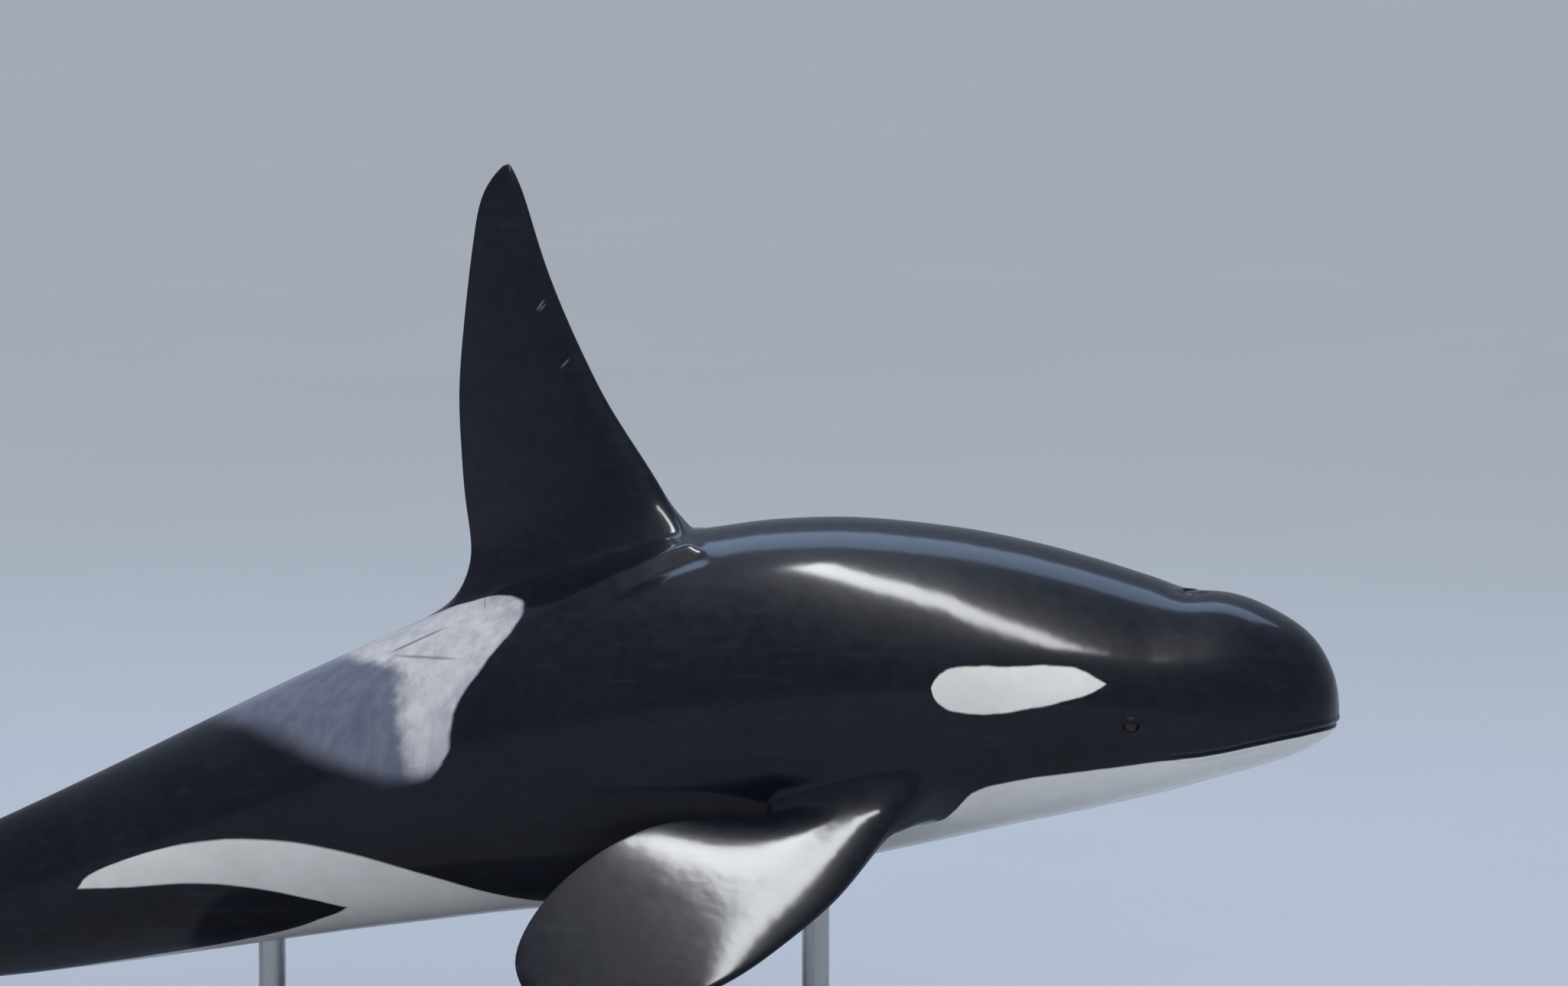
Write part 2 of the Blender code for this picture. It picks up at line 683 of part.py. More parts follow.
def blowhole_cutter(surface):
    """A crescent slit with its horns forwards, cut down into the head."""
    places, profiles = [], []
    for k in range(13):
        turn = math.radians(-78.0 + 156.0 * k / 12)
        s = BLOWHOLE_CENTRE + BLOWHOLE_RADIUS * math.cos(turn)
        side = BLOWHOLE_RADIUS * math.sin(turn)
        up = body_point(s, 0.0, 1.0) - body_point(s, 0.0, 0.0)
        hit, _, _, _ = surface.ray_cast(body_point(s, side, 2.0), -up)
        width = BLOWHOLE_WIDTH / 2.0 * (0.35 + 0.65 * math.cos(math.radians(-90.0 + 180.0 * k / 12)))
        spoke = along_spine(s) * math.cos(turn) + Vector((0.0, math.sin(turn), 0.0))
        top, bottom, across = up * 0.02, up * -0.025, spoke * width
        places.append(hit)
        profiles.append([top - across, top + across, bottom + across, bottom - across])
    return swept("blowhole", places, profiles)


def head_and_jaw(mesh):
    """The head with its lids, eye sockets, blowhole and lip groove, and the lower jaw parted from it."""
    piece = cut_piece(mesh, [(cut_place(HEAD_END), -1)])
    head = add_node("head", piece, SKIN_COLOUR)
    work = bmesh.new()
    work.from_mesh(piece)
    surface = BVHTree.FromBMesh(work)
    work.free()
    path = mouth_path(surface)
    eyes = []
    for name, hand in (("eye_left", 1.0), ("eye_right", -1.0)):
        start = body_point(EYE[0], 1.5 * hand, EYE[1])
        place, out, _, _ = surface.ray_cast(start, Vector((0.0, -hand, 0.0)))
        ahead = (along_spine(EYE[0]) * -1.0 - out * (along_spine(EYE[0]) * -1.0).dot(out)).normalized()
        up = out.cross(ahead).normalized()
        combined(head, lid_ring(place, ahead, up, out), "UNION")
        centre = place - out * EYE_DEPTH
        combined(head, ball("socket", centre, EYE_RADIUS + GAP, 8), "DIFFERENCE")
        eyes.append((name, centre))
    combined(head, blowhole_cutter(surface), "DIFFERENCE")
    combined(head, surface_tube("lip_groove", path, LIP_GROOVE), "DIFFERENCE")
    jaw = add_node("lower_jaw", head.data.copy(), BELLY_COLOUR)
    combined(jaw, jaw_block(GAP), "INTERSECT")
    combined(head, jaw_block(0.0), "DIFFERENCE")
    for name, centre in eyes:
        eye = ball(name, centre, EYE_RADIUS, 8)
        add_colour(eye, EYE_COLOUR)


def add_colour(obj, colour):
    obj.data.materials.clear()
    material = bpy.data.materials.new(obj.name)
    material.diffuse_color = (*colour, 1.0)
    obj.data.materials.append(material)


def body_and_fins(mesh):
    """The trunk in four pieces, the dorsal fin, the flippers and the flukes."""
    head_end, chest_end, midbody_end, hindbody_end = (
        cut_place(s) for s in (HEAD_END, CHEST_END, MIDBODY_END, HINDBODY_END)
    )
    fin = fin_plane()
    flippers = {"left": flipper_plane(1), "right": flipper_plane(-1)}
    flukes = {"left": fluke_plane(1), "right": fluke_plane(-1)}
    no_flippers = [(flippers["left"], -1), (flippers["right"], -1)]
    pieces = {
        "chest": [(head_end, 1), (chest_end, -1), *no_flippers],
        "midbody": [(chest_end, 1), (midbody_end, -1), (fin, -1), *no_flippers],
        "hindbody": [(midbody_end, 1), (hindbody_end, -1)],
        "tail_stock": [(hindbody_end, 1), (flukes["left"], -1), (flukes["right"], -1)],
        "dorsal_fin": [(fin, 1)],
    }
    for side in ("left", "right"):
        pieces["flipper_" + side] = [(head_end, 1), (midbody_end, -1), (flippers[side], 1)]
        pieces["fluke_" + side] = [(hindbody_end, 1), (flukes[side], 1)]
    for name, cuts in pieces.items():
        add_node(name, cut_piece(mesh, cuts), SKIN_COLOUR)


def stand():
    """A flat base and two short rods, whose tops take the shape of the belly that rests on them."""
    length, width, height = BASE_SIZE
    work = bmesh.new()
    bmesh.ops.create_cube(work, size=1.0)
    bmesh.ops.scale(work, verts=work.verts, vec=BASE_SIZE)
    bmesh.ops.translate(work, verts=work.verts, vec=(0.0, 0.0, height / 2.0))
    upright = [edge for edge in work.edges if abs(edge.verts[0].co.z - edge.verts[1].co.z) > height / 2.0]
    bmesh.ops.bevel(work, geom=upright, offset=BASE_CORNER, segments=8, profile=0.5, affect="EDGES")
    rim = [edge for edge in work.edges if min(edge.verts[0].co.z, edge.verts[1].co.z) > height - 1e-5]
    bmesh.ops.bevel(work, geom=rim, offset=BASE_EDGE, segments=2, profile=0.5, affect="EDGES")
    mesh = bpy.data.meshes.new("stand_base")
    work.to_mesh(mesh)
    work.free()
    add_node("stand_base", mesh, STAND_COLOUR)
    rods = (("stand_rod_front", ROD_PLACES[0], "chest"), ("stand_rod_rear", ROD_PLACES[1], "hindbody"))
    for name, s, above in rods:
        top = body_point(s, 0.0, -section_size(s, 2) + 0.15)
        bottom = height + GAP
        work = bmesh.new()
        bmesh.ops.create_cone(
            work, cap_ends=True, segments=32, radius1=ROD_RADIUS, radius2=ROD_RADIUS, depth=top.z - bottom
        )
        bmesh.ops.translate(work, verts=work.verts, vec=(top.x, 0.0, (top.z + bottom) / 2.0))
        mesh = bpy.data.meshes.new(name)
        work.to_mesh(mesh)
        work.free()
        rod = add_node(name, mesh, STAND_COLOUR)
        belly = bpy.data.objects.new("belly", bpy.data.objects[above].data.copy())
        bpy.context.scene.collection.objects.link(belly)
        belly.location.z = -1.5 * GAP
        combined(rod, belly, "DIFFERENCE")


def clear_scene():
    for obj in list(bpy.data.objects):
        bpy.data.objects.remove(obj)


def main():
    clear_scene()
    whole = fitted(whole_cage())
    mesh = evaluated_mesh(whole)
    bpy.data.objects.remove(whole)
    head_and_jaw(mesh)
    body_and_fins(mesh)
    stand()


main()
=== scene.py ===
"""Looks of the life-size orca: its skin, eyes, stand, light, floor and camera.

Row frame: metres, +Z up, +X towards the snout, the floor at Z 0. The skin is one closed surface, made from
the same cage as the solids, and it stands for all the pieces of the body. It is refined where the head and
the dorsal fin's root have detail. Every point of it carries its place on the body as attributes, from which
its material draws the markings.
"""

import math

import bmesh
import bpy
import numpy as np
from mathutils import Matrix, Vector
from mathutils.bvhtree import BVHTree


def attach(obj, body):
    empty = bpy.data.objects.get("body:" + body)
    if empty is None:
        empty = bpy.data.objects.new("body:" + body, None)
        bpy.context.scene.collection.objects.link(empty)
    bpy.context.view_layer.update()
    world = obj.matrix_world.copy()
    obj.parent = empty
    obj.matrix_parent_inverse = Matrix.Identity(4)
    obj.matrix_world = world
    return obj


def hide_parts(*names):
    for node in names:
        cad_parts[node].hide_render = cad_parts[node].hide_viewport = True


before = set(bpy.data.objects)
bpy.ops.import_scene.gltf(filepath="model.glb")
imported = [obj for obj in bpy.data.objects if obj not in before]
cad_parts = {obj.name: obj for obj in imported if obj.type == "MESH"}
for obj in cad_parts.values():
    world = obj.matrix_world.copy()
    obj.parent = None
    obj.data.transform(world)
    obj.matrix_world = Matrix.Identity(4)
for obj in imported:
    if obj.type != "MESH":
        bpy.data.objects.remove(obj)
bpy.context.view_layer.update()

# Camera: where it looks from, in degrees, how far away it is, what it looks at, and its view's width there
CAMERA_AZIMUTH, CAMERA_ELEVATION = 8.0, 8.0
CAMERA_DISTANCE = 45.0
CAMERA_TARGET = Vector((0.726, 0.0, 2.339))
CAMERA_WIDTH = 6.246
SENSOR = 36.0

# The strip of light overhead: its middle, and which way it runs, in degrees from +X
STRIP_PLACE = (2.3, -3.0, 9.0)
STRIP_HEADING = -55.0

# Light: the sun's strength and its spread in degrees, the panels' powers in watts, what the panels are aimed
# at, and the room's strength and colour
SUN_STRENGTH, SUN_SPREAD = 1.7, 24.0
FILL_POWER, RIM_POWER, STRIP_POWER = 420.0, 620.0, 1100.0
PANEL_TARGET = Vector((0.0, 0.0, 1.6))
ROOM_STRENGTH = 0.36
ROOM_COLOUR = (0.70, 0.80, 0.96, 1.0)

FLESH = (
    "head", "lower_jaw", "chest", "midbody", "hindbody", "tail_stock", "dorsal_fin", "flipper_left",
    "flipper_right", "fluke_left", "fluke_right",
)

# The body cage: how many points go round each ring, and the columns that the fins' middles follow.
# Column 0 is the belly, 5 the left side, 10 the back and 15 the right side.
SIDES = 20
BACK = 10
LEFT_FLUKE, RIGHT_FLUKE = 5, 15
LEFT_FLIPPER, RIGHT_FLIPPER = 3, 17
FIT_ROUNDS = 4

# Where the fins are rooted along the body, from the snout, and how many rows of faces each root takes
FLIPPER_ROOT, FLIPPER_ROWS = (1.45, 2.31), 5
FIN_ROOT, FIN_ROWS = (2.51, 3.56), 7
FLUKE_ROOT, FLUKE_ROWS = (6.48, 7.06), 5
NOTCH = 7.12

# The world place of the spine at the snout
SNOUT = Vector((2.95, 0.0, 1.49))

# How far the spine, seen going towards the head, rises above level, in degrees, by distance from the snout
SPINE_PITCH = (
    (0.0, -5.5), (0.6, -5.5), (1.1, -5.0), (1.6, -1.0), (2.1, 4.0), (2.7, 9.5), (3.3, 15.5),
    (3.9, 20.0), (4.5, 21.5), (5.3, 20.0), (6.0, 15.0), (6.6, 9.0), (7.2, 4.0), (8.0, 2.0),
)

# Body sections: distance from the snout, height above the spine, depth below it, half width, height of the
# widest point, and the superellipse powers of the upper and the lower half (2 is an ellipse)
SECTIONS = (
    (0.03, 0.140, 0.078, 0.125, -0.010, 2.00, 2.00),
    (0.10, 0.262, 0.135, 0.220, -0.015, 2.10, 2.00),
    (0.20, 0.343, 0.190, 0.295, -0.020, 2.15, 2.00),
    (0.32, 0.396, 0.245, 0.355, -0.025, 2.15, 1.95),
    (0.46, 0.434, 0.300, 0.408, -0.025, 2.10, 1.95),
    (0.60, 0.438, 0.358, 0.450, -0.020, 2.05, 2.00),
    (0.74, 0.452, 0.410, 0.488, -0.010, 1.95, 2.00),
    (0.90, 0.486, 0.465, 0.525, 0.000, 1.90, 2.05),
    (1.20, 0.540, 0.560, 0.582, 0.000, 1.90, 2.10),
    (1.60, 0.594, 0.665, 0.638, 0.000, 1.90, 2.15),
    (2.10, 0.630, 0.755, 0.672, -0.010, 1.90, 2.20),
    (2.65, 0.614, 0.800, 0.675, -0.020, 1.85, 2.20),
    (3.20, 0.545, 0.782, 0.645, -0.020, 1.80, 2.20),
    (3.75, 0.470, 0.705, 0.570, -0.010, 1.80, 2.15),
    (4.40, 0.408, 0.575, 0.455, 0.000, 1.80, 2.00),
    (5.10, 0.340, 0.430, 0.318, 0.000, 1.75, 1.85),
    (5.80, 0.265, 0.290, 0.195, 0.000, 1.65, 1.75),
    (6.30, 0.195, 0.198, 0.125, 0.000, 1.70, 1.80),
    (6.60, 0.145, 0.142, 0.095, 0.000, 1.80, 1.90),
    (6.90, 0.085, 0.080, 0.080, 0.000, 2.00, 2.00),
    (7.06, 0.045, 0.042, 0.060, 0.000, 2.00, 2.00),
)

# The dip of the back round the blowhole: place, reach along the body and to the side, and depth
BLOWHOLE = 0.655
BLOWHOLE_DIP = (0.055, 0.13, 0.017)
BLOWHOLE_CENTRE, BLOWHOLE_RADIUS = 0.605, 0.058

# How far a fin's first rings lie between the body and the fin, so that they make a smooth hollow
ROOT_BLENDS = (0.38, 0.72)
LOOP_HOLD, BLEND_HOLD = 0.6, 1.0

# The dorsal fin's leading and trailing edges, as (height, place along X) from the front of its root
FIN_FRONT = Vector((0.376, 0.0, 2.205))
FIN_LEADING = (
    (-0.1, -0.01), (0.0, -0.068), (0.1, -0.12), (0.25, -0.21), (0.41, -0.318), (0.7, -0.47),
    (1.0, -0.597), (1.25, -0.678), (1.38, -0.722), (1.44, -0.76),
)
FIN_TRAILING = (
    (-0.36, -0.898), (-0.2, -0.905), (-0.06, -0.917), (0.1, -0.938), (0.51, -0.96), (0.77, -0.942),
    (1.08, -0.906), (1.25, -0.88), (1.36, -0.838), (1.44, -0.76),
)
FIN_HALF_THICKNESS = ((0.0, 0.100), (0.12, 0.074), (0.3, 0.058), (0.6, 0.043), (0.85, 0.029), (1.0, 0.017))
FIN_RINGS = (0.10, 0.20, 0.32, 0.45, 0.58, 0.71, 0.83, 0.925, 0.98)

# Each flipper's outline ahead of and behind its middle line, by distance out from the body's side
FLIPPER_LEADING = (
    (0.0, 0.26), (0.2, 0.25), (0.4, 0.28), (0.8, 0.29), (1.1, 0.24), (1.35, 0.12), (1.48, 0.0),
    (1.56, -0.14), (1.59, -0.24),
)
FLIPPER_TRAILING = (
    (0.0, -0.26), (0.2, -0.28), (0.4, -0.36), (0.75, -0.51), (1.05, -0.55), (1.3, -0.51), (1.48, -0.43),
    (1.56, -0.34), (1.59, -0.25),
)
FLIPPER_HALF_THICKNESS = (
    (0.0, 0.1), (0.15, 0.078), (0.5, 0.055), (1.0, 0.04), (1.4, 0.024), (1.58, 0.014),
)
FLIPPER_RINGS = (0.20, 0.42, 0.68, 0.95, 1.19, 1.38, 1.51, 1.57)
FLIPPER_SWEEP, FLIPPER_DROOP, FLIPPER_TWIST = 36.0, 30.0, 12.0
FLIPPER_TURN, FLIPPER_CURL = 0.6, 0.05

# Each fluke, by distance out from the middle: its edges, as distance from the snout, its thickness and its
# rise above the spine
FLUKE_LEADING = (
    (0.06, 6.46), (0.15, 6.53), (0.3, 6.62), (0.5, 6.74), (0.75, 6.93), (0.95, 7.13), (1.08, 7.32),
    (1.14, 7.45),
)
FLUKE_TRAILING = (
    (0.06, 7.13), (0.15, 7.2), (0.3, 7.235), (0.5, 7.245), (0.75, 7.28), (0.95, 7.36), (1.08, 7.445),
    (1.14, 7.485),
)
FLUKE_HALF_THICKNESS = ((0.06, 0.055), (0.15, 0.050), (0.4, 0.038), (0.8, 0.022), (1.14, 0.010))
FLUKE_RISE = ((0.06, 0.0), (0.4, 0.012), (0.8, 0.0), (1.0, -0.035), (1.14, -0.085))
FLUKE_RINGS = (0.20, 0.36, 0.56, 0.76, 0.93, 1.05, 1.115)

# The mouth line, as height above the spine by distance from the snout
MOUTH_LINE = (
    (-0.2, -0.03), (0.0, -0.03), (0.15, -0.056), (0.3, -0.097), (0.45, -0.142), (0.56, -0.166),
    (0.62, -0.17),
)
MOUTH_CORNER = 0.62

# Each eye: its place, its ball's size, how deep the ball's centre lies, the half length and half height of
# the opening between the lids, and how much fuller the ball is at its front
EYE = (0.775, -0.058)
EYE_RADIUS, EYE_DEPTH = 0.030, 0.021
EYE_OPENING = (0.029, 0.0165)
EYE_BULGE = 0.0006

# The lids: their height out of the skin, how much higher the upper one is, and the widths of crest and slope
LID_CREST, LID_LIFT = 0.0075, 0.0015
LID_FLAT, LID_SLOPE = 0.006, 0.013

# The fold under the dorsal fin's root, by distance from the snout: its turn round the body from the belly, in
# degrees, and its height
FOLD_LINE = (
    (2.44, 158.0), (2.56, 154.5), (2.66, 150.5), (2.77, 147.0), (2.9, 143.5), (3.03, 140.0),
    (3.15, 137.5),
)
FOLD_HEIGHT = ((2.40, 0.020), (2.56, 0.024), (2.75, 0.021), (2.95, 0.014), (3.20, 0.0))

# The front end of that fold: distance from the snout by turn
FOLD_FRONT = ((150.0, 2.425), (155.0, 2.450), (170.0, 2.530), (180.0, 2.570))

# Small forms along the mouth's line and the blowhole's slit: height, distance off the line, and width
MOUTH_FORMS = ((-0.0085, 0.0, 0.0045), (0.004, 0.020, 0.011), (0.005, -0.017, 0.011))
BLOWHOLE_FORMS = ((-0.016, 0.0, 0.0048), (0.0055, 0.015, 0.011))

# The longest edges of the skin's mesh: in general, on the upper body and the fins, on the dorsal fin, on the
# head and along the fold. The pairs are for close to a small form and for its own edges.
EDGE_PLAIN, EDGE_UPPER, EDGE_FIN, EDGE_HEAD, EDGE_FOLD = 0.085, 0.046, 0.040, 0.027, 0.020
MOUTH_EDGES = (0.011, 0.0056)
BLOWHOLE_EDGES = (0.011, 0.0052)
EYE_EDGES = (0.010, 0.0048)
SPLIT_ROUNDS = 6

# How finely the smooth surface is divided that new points are set on: the whole of it, and the head's part.
# The head's part is cut off at the first length from the snout and used up to the second.
WHOLE_LEVEL, HEAD_LEVEL = 4, 5
HEAD_CUT, HEAD_USED = 2.0, 1.5


def smooth_curve(points, at):
    """A monotone cubic through (x, y) points, so that it has no bumps that the points don't."""
    x, y = np.array(points, float).T
    at = np.atleast_1d(np.asarray(at, float))
    step = np.diff(x)
    slope = np.diff(y) / step
    tangent = np.zeros(len(x))
    tangent[0], tangent[-1] = slope[0], slope[-1]
    for k in range(1, len(x) - 1):
        if slope[k - 1] * slope[k] > 0:
            before, after = 2 * step[k] + step[k - 1], step[k] + 2 * step[k - 1]
            tangent[k] = (before + after) / (before / slope[k - 1] + after / slope[k])
    k = np.clip(np.searchsorted(x, at) - 1, 0, len(step) - 1)
    t = (np.clip(at, x[0], x[-1]) - x[k]) / step[k]
    value = (
        y[k] * (1 + 2 * t) * (1 - t) ** 2
        + tangent[k] * step[k] * t * (1 - t) ** 2
        + y[k + 1] * t * t * (3 - 2 * t)
        + tangent[k + 1] * step[k] * t * t * (t - 1)
    )
    return value if len(value) > 1 else float(value[0])


# The spine, walked in short steps from the snout towards the tail
SPINE_STEP = 0.01
SPINE_END = 7.9
SPINE_S = np.arange(0.0, 8.0, SPINE_STEP)
SPINE_ANGLE = np.radians(smooth_curve(SPINE_PITCH, SPINE_S))
SPINE_X = SNOUT.x - np.concatenate([[0], np.cumsum(np.cos(SPINE_ANGLE) * SPINE_STEP)[:-1]])
SPINE_Z = SNOUT.z - np.concatenate([[0], np.cumsum(np.sin(SPINE_ANGLE) * SPINE_STEP)[:-1]])


def body_point(s, side, up):
    """The world point that lies side and up from the spine, at distance s from the snout."""
    angle = np.interp(s, SPINE_S, SPINE_ANGLE)
    x = np.interp(s, SPINE_S, SPINE_X) - up * math.sin(angle)
    z = np.interp(s, SPINE_S, SPINE_Z) + up * math.cos(angle)
    return Vector((x, side, z))


def section_sizes(s):
    """The body's sizes at distance s from the snout, in the order of the columns of SECTIONS."""
    places, *columns = zip(*SECTIONS)
    return [smooth_curve(list(zip(places, column)), s) for column in columns]


def section_point(s, turn):
    """A point of the surface at distance s from the snout. turn goes round from the belly, in degrees."""
    up, down, half_width, middle, upper_power, lower_power = section_sizes(s)
    angle = math.radians(turn - 90.0)
    level = math.sin(angle)
    across = math.cos(angle)
    power = 2.0 / (upper_power if level > 0 else lower_power)
    reach = up - middle if level > 0 else down + middle
    side = half_width * math.copysign(abs(across) ** power, across)
    height = middle + reach * math.copysign(abs(level) ** power, level)
    if level > 0:
        along, aside, depth = BLOWHOLE_DIP
        height -= depth * math.exp(-(((s - BLOWHOLE) / along) ** 2) - (side / aside) ** 2)
    return body_point(s, side, height)


def ring_places():
    """Distances of the cage's rings from the snout, and the first rings of the flippers, fin and flukes."""
    head = [0.03, 0.08, 0.14, 0.21, 0.29, 0.38, 0.47, 0.56, 0.655, 0.75, 0.85, 0.97, 1.11, 1.27]
    flipper = list(np.linspace(*FLIPPER_ROOT, FLIPPER_ROWS + 1))
    fin = list(np.linspace(*FIN_ROOT, FIN_ROWS + 1))
    loin = [3.76, 3.97, 4.21, 4.47, 4.76, 5.07, 5.39, 5.71, 6.00, 6.25]
    fluke = list(np.linspace(*FLUKE_ROOT, FLUKE_ROWS + 1))
    rings = head + flipper + fin + loin + fluke
    return rings, len(head), len(head) + len(flipper), len(rings) - len(fluke)


def foil(chord):
    """Half thickness of a streamlined section at a share of its chord, as a share of its greatest."""
    c = np.clip(chord, 0.0, 1.0)
    return 2.969 * np.sqrt(c) - 1.26 * c - 3.516 * c**2 + 2.843 * c**3 - 1.015 * c**4


class Cage:
    """The coarse mesh: points, faces as lists of their numbers, and how closely each point is to be met."""

    def __init__(self):
        self.points = []
        self.faces = []
        self.hold = []

    def add(self, point, hold=1.0):
        self.points.append(Vector(point))
        self.hold.append(hold)
        return len(self.points) - 1

    def body(self, rings, holes):
        """Adds the rings, joined and closed by a point at each end. holes says which faces to leave out."""
        numbers = [
            [self.add(section_point(s, 360.0 * column / SIDES)) for column in range(SIDES)] for s in rings
        ]
        for row in range(len(rings) - 1):
            for column in range(SIDES):
                if (row, column) not in holes:
                    after = (column + 1) % SIDES
                    ring, following = numbers[row], numbers[row + 1]
                    self.faces.append([ring[column], ring[after], following[after], following[column]])
        snout = self.add(body_point(0.0, 0.0, 0.0))
        notch = self.add(body_point(NOTCH, 0.0, 0.0))
        for column in range(SIDES):
            after = (column + 1) % SIDES
            self.faces.append([snout, numbers[0][after], numbers[0][column]])
            self.faces.append([notch, numbers[-1][column], numbers[-1][after]])
        return numbers

    def join(self, loop, following):
        for k in range(len(loop)):
            after = (k + 1) % len(loop)
            self.faces.append([loop[k], loop[after], following[after], following[k]])

    def grow(self, numbers, first_row, rows, middle, turn, shape, foot, rings):
        """Grows a fin from the hole that is two columns wide round column middle.

        shape(reach, chord, side) gives the fin's points. turn is 1 where its positive side faces the next
        column, or -1. foot is the reach at which it would meet the body without a hollow between them.
        """
        one, other = (middle + turn) % SIDES, (middle - turn) % SIDES
        last_row = first_row + rows
        loop = [numbers[first_row][middle]]
        loop += [numbers[row][one] for row in range(first_row, last_row + 1)]
        loop += [numbers[last_row][middle]]
        loop += [numbers[row][other] for row in range(last_row, first_row - 1, -1)]
        chords = [0.5 - 0.5 * math.cos(math.pi * (row + 0.55) / (rows + 1.1)) for row in range(rows + 1)]
        one_side = [(c, 1.0) for c in chords]
        other_side = [(c, -1.0) for c in reversed(chords)]
        places = [(0.0, 0.0), *one_side, (1.0, 0.0), *other_side]
        start = [self.points[number] for number in loop]
        for number in loop:
            self.hold[number] = LOOP_HOLD
        corner = [shape(foot, chord, side) for chord, side in places]
        end = [shape(rings[0], chord, side) for chord, side in places]
        for t in ROOT_BLENDS:
            following = [
                self.add(p * (1 - t) ** 2 + q * 2 * t * (1 - t) + r * t * t, BLEND_HOLD)
                for p, q, r in zip(start, corner, end)
            ]
            self.join(loop, following)
            loop = following
        for reach in rings:
            following = [self.add(shape(reach, chord, side)) for chord, side in places]
            self.join(loop, following)
            loop = following
        front, rear = loop[0], loop[rows + 2]
        near, far = loop[1 : rows + 2], loop[: rows + 2 : -1]
        tip = rings[-1] + (rings[-1] - rings[-2]) * 0.5
        ridge = [front] + [self.add(shape(tip, chord, 0.0)) for chord in chords[1:-1]] + [rear]
        for k in range(rows):
            self.faces.append([near[k], near[k + 1], ridge[k + 1], ridge[k]])
            self.faces.append([ridge[k], ridge[k + 1], far[k + 1], far[k]])


def fin_shape(reach, chord, side):
    """The dorsal fin: reach runs from its root to its tip, chord from its leading to its trailing edge."""
    front_height = 0.03 + 1.40 * min(reach, 1.0)
    rear_height = -0.24 + 1.66 * min(reach, 1.0)
    front = smooth_curve(FIN_LEADING, front_height)
    rear = smooth_curve(FIN_TRAILING, rear_height)
    height = front_height + (rear_height - front_height) * chord
    along = front + (rear - front) * chord
    thick = smooth_curve(FIN_HALF_THICKNESS, min(reach, 1.0)) * foil(chord) * side
    return FIN_FRONT + Vector((along, thick, height + max(reach - 1.0, 0.0)))


def foil_place(leading, trailing, half_thickness, reach, chord, side):
    """Where a point of a flat fin lies along its chord, and how far off the chord."""
    front = smooth_curve(leading, reach)
    rear = smooth_curve(trailing, reach)
    return front + (rear - front) * chord, smooth_curve(half_thickness, reach) * foil(chord) * side


def flipper_shape(hand):
    """The shape of the flipper on one side of the body. hand is 1 at +Y, the left side, and -1 at -Y."""
    middle = 0.5 * (FLIPPER_ROOT[0] + FLIPPER_ROOT[1])
    root = section_point(middle, 360.0 * LEFT_FLIPPER / SIDES)
    sweep, droop, twist = (math.radians(a) for a in (FLIPPER_SWEEP, FLIPPER_DROOP, FLIPPER_TWIST))
    out = Vector((-math.sin(sweep), math.cos(sweep) * math.cos(droop), -math.cos(sweep) * math.sin(droop)))
    beside = (body_point(middle - 0.1, 0.0, 0.0) - body_point(middle + 0.1, 0.0, 0.0)).normalized()
    ahead = Vector((math.cos(twist), 0.0, -math.sin(twist)))
    ahead = (ahead - out * ahead.dot(out)).normalized()

    def shape(reach, chord, side):
        turned = min(reach / FLIPPER_TURN, 1.0)
        turned = turned * turned * (3.0 - 2.0 * turned)
        across = (beside * (1.0 - turned) + ahead * turned).normalized()
        lift = across.cross(out).normalized()
        edges = (FLIPPER_LEADING, FLIPPER_TRAILING, FLIPPER_HALF_THICKNESS)
        along, thick = foil_place(*edges, reach, chord, side)
        point = out * reach + across * along + lift * (thick - FLIPPER_CURL * reach * reach)
        return Vector((root.x + point.x, hand * (root.y + point.y), root.z + point.z))

    return shape


def fluke_shape(hand):
    def shape(reach, chord, side):
        edges = (FLUKE_LEADING, FLUKE_TRAILING, FLUKE_HALF_THICKNESS)
        along, thick = foil_place(*edges, reach, chord, side)
        return body_point(along, hand * reach, smooth_curve(FLUKE_RISE, reach) + thick)

    return shape


def whole_cage():
    rings, flipper, fin, fluke = ring_places()
    fins = [
        (fin, FIN_ROWS, BACK, -1, fin_shape, -0.04, FIN_RINGS),
        (flipper, FLIPPER_ROWS, LEFT_FLIPPER, 1, flipper_shape(1), 0.0, FLIPPER_RINGS),
        (flipper, FLIPPER_ROWS, RIGHT_FLIPPER, -1, flipper_shape(-1), 0.0, FLIPPER_RINGS),
        (fluke, FLUKE_ROWS, LEFT_FLUKE, 1, fluke_shape(1), 0.11, FLUKE_RINGS),
        (fluke, FLUKE_ROWS, RIGHT_FLUKE, -1, fluke_shape(-1), 0.11, FLUKE_RINGS),
    ]
    holes = {
        (row, column % SIDES)
        for start, rows, middle, *_ in fins
        for row in range(start, start + rows)
        for column in (middle - 1, middle)
    }
    cage = Cage()
    numbers = cage.body(rings, holes)
    for start, rows, middle, turn, shape, foot, reaches in fins:
        cage.grow(numbers, start, rows, middle, turn, shape, foot, reaches)
    return cage


def linked(name, data):
    """A new object in the scene."""
    obj = bpy.data.objects.new(name, data)
    bpy.context.scene.collection.objects.link(obj)
    return obj


def mesh_object(name, points, faces):
    mesh = bpy.data.meshes.new(name)
    mesh.from_pydata([tuple(p) for p in points], [], faces)
    mesh.update()
    return linked(name, mesh)


def evaluated_mesh(obj):
    bpy.context.view_layer.update()
    return bpy.data.meshes.new_from_object(obj.evaluated_get(bpy.context.evaluated_depsgraph_get()))


def add_attribute(mesh, name, values):
    mesh.attributes.new(name, "FLOAT", "POINT").data.foreach_set("value", values.astype(np.float32))


def points_of(mesh):
    points = np.empty(len(mesh.vertices) * 3)
    mesh.vertices.foreach_get("co", points)
    return points.reshape(-1, 3)


def edited(mesh, change):
    """Changes a mesh by a function that works on its faces."""
    work = bmesh.new()
    work.from_mesh(mesh)
    change(work)
    work.to_mesh(mesh)
    work.free()


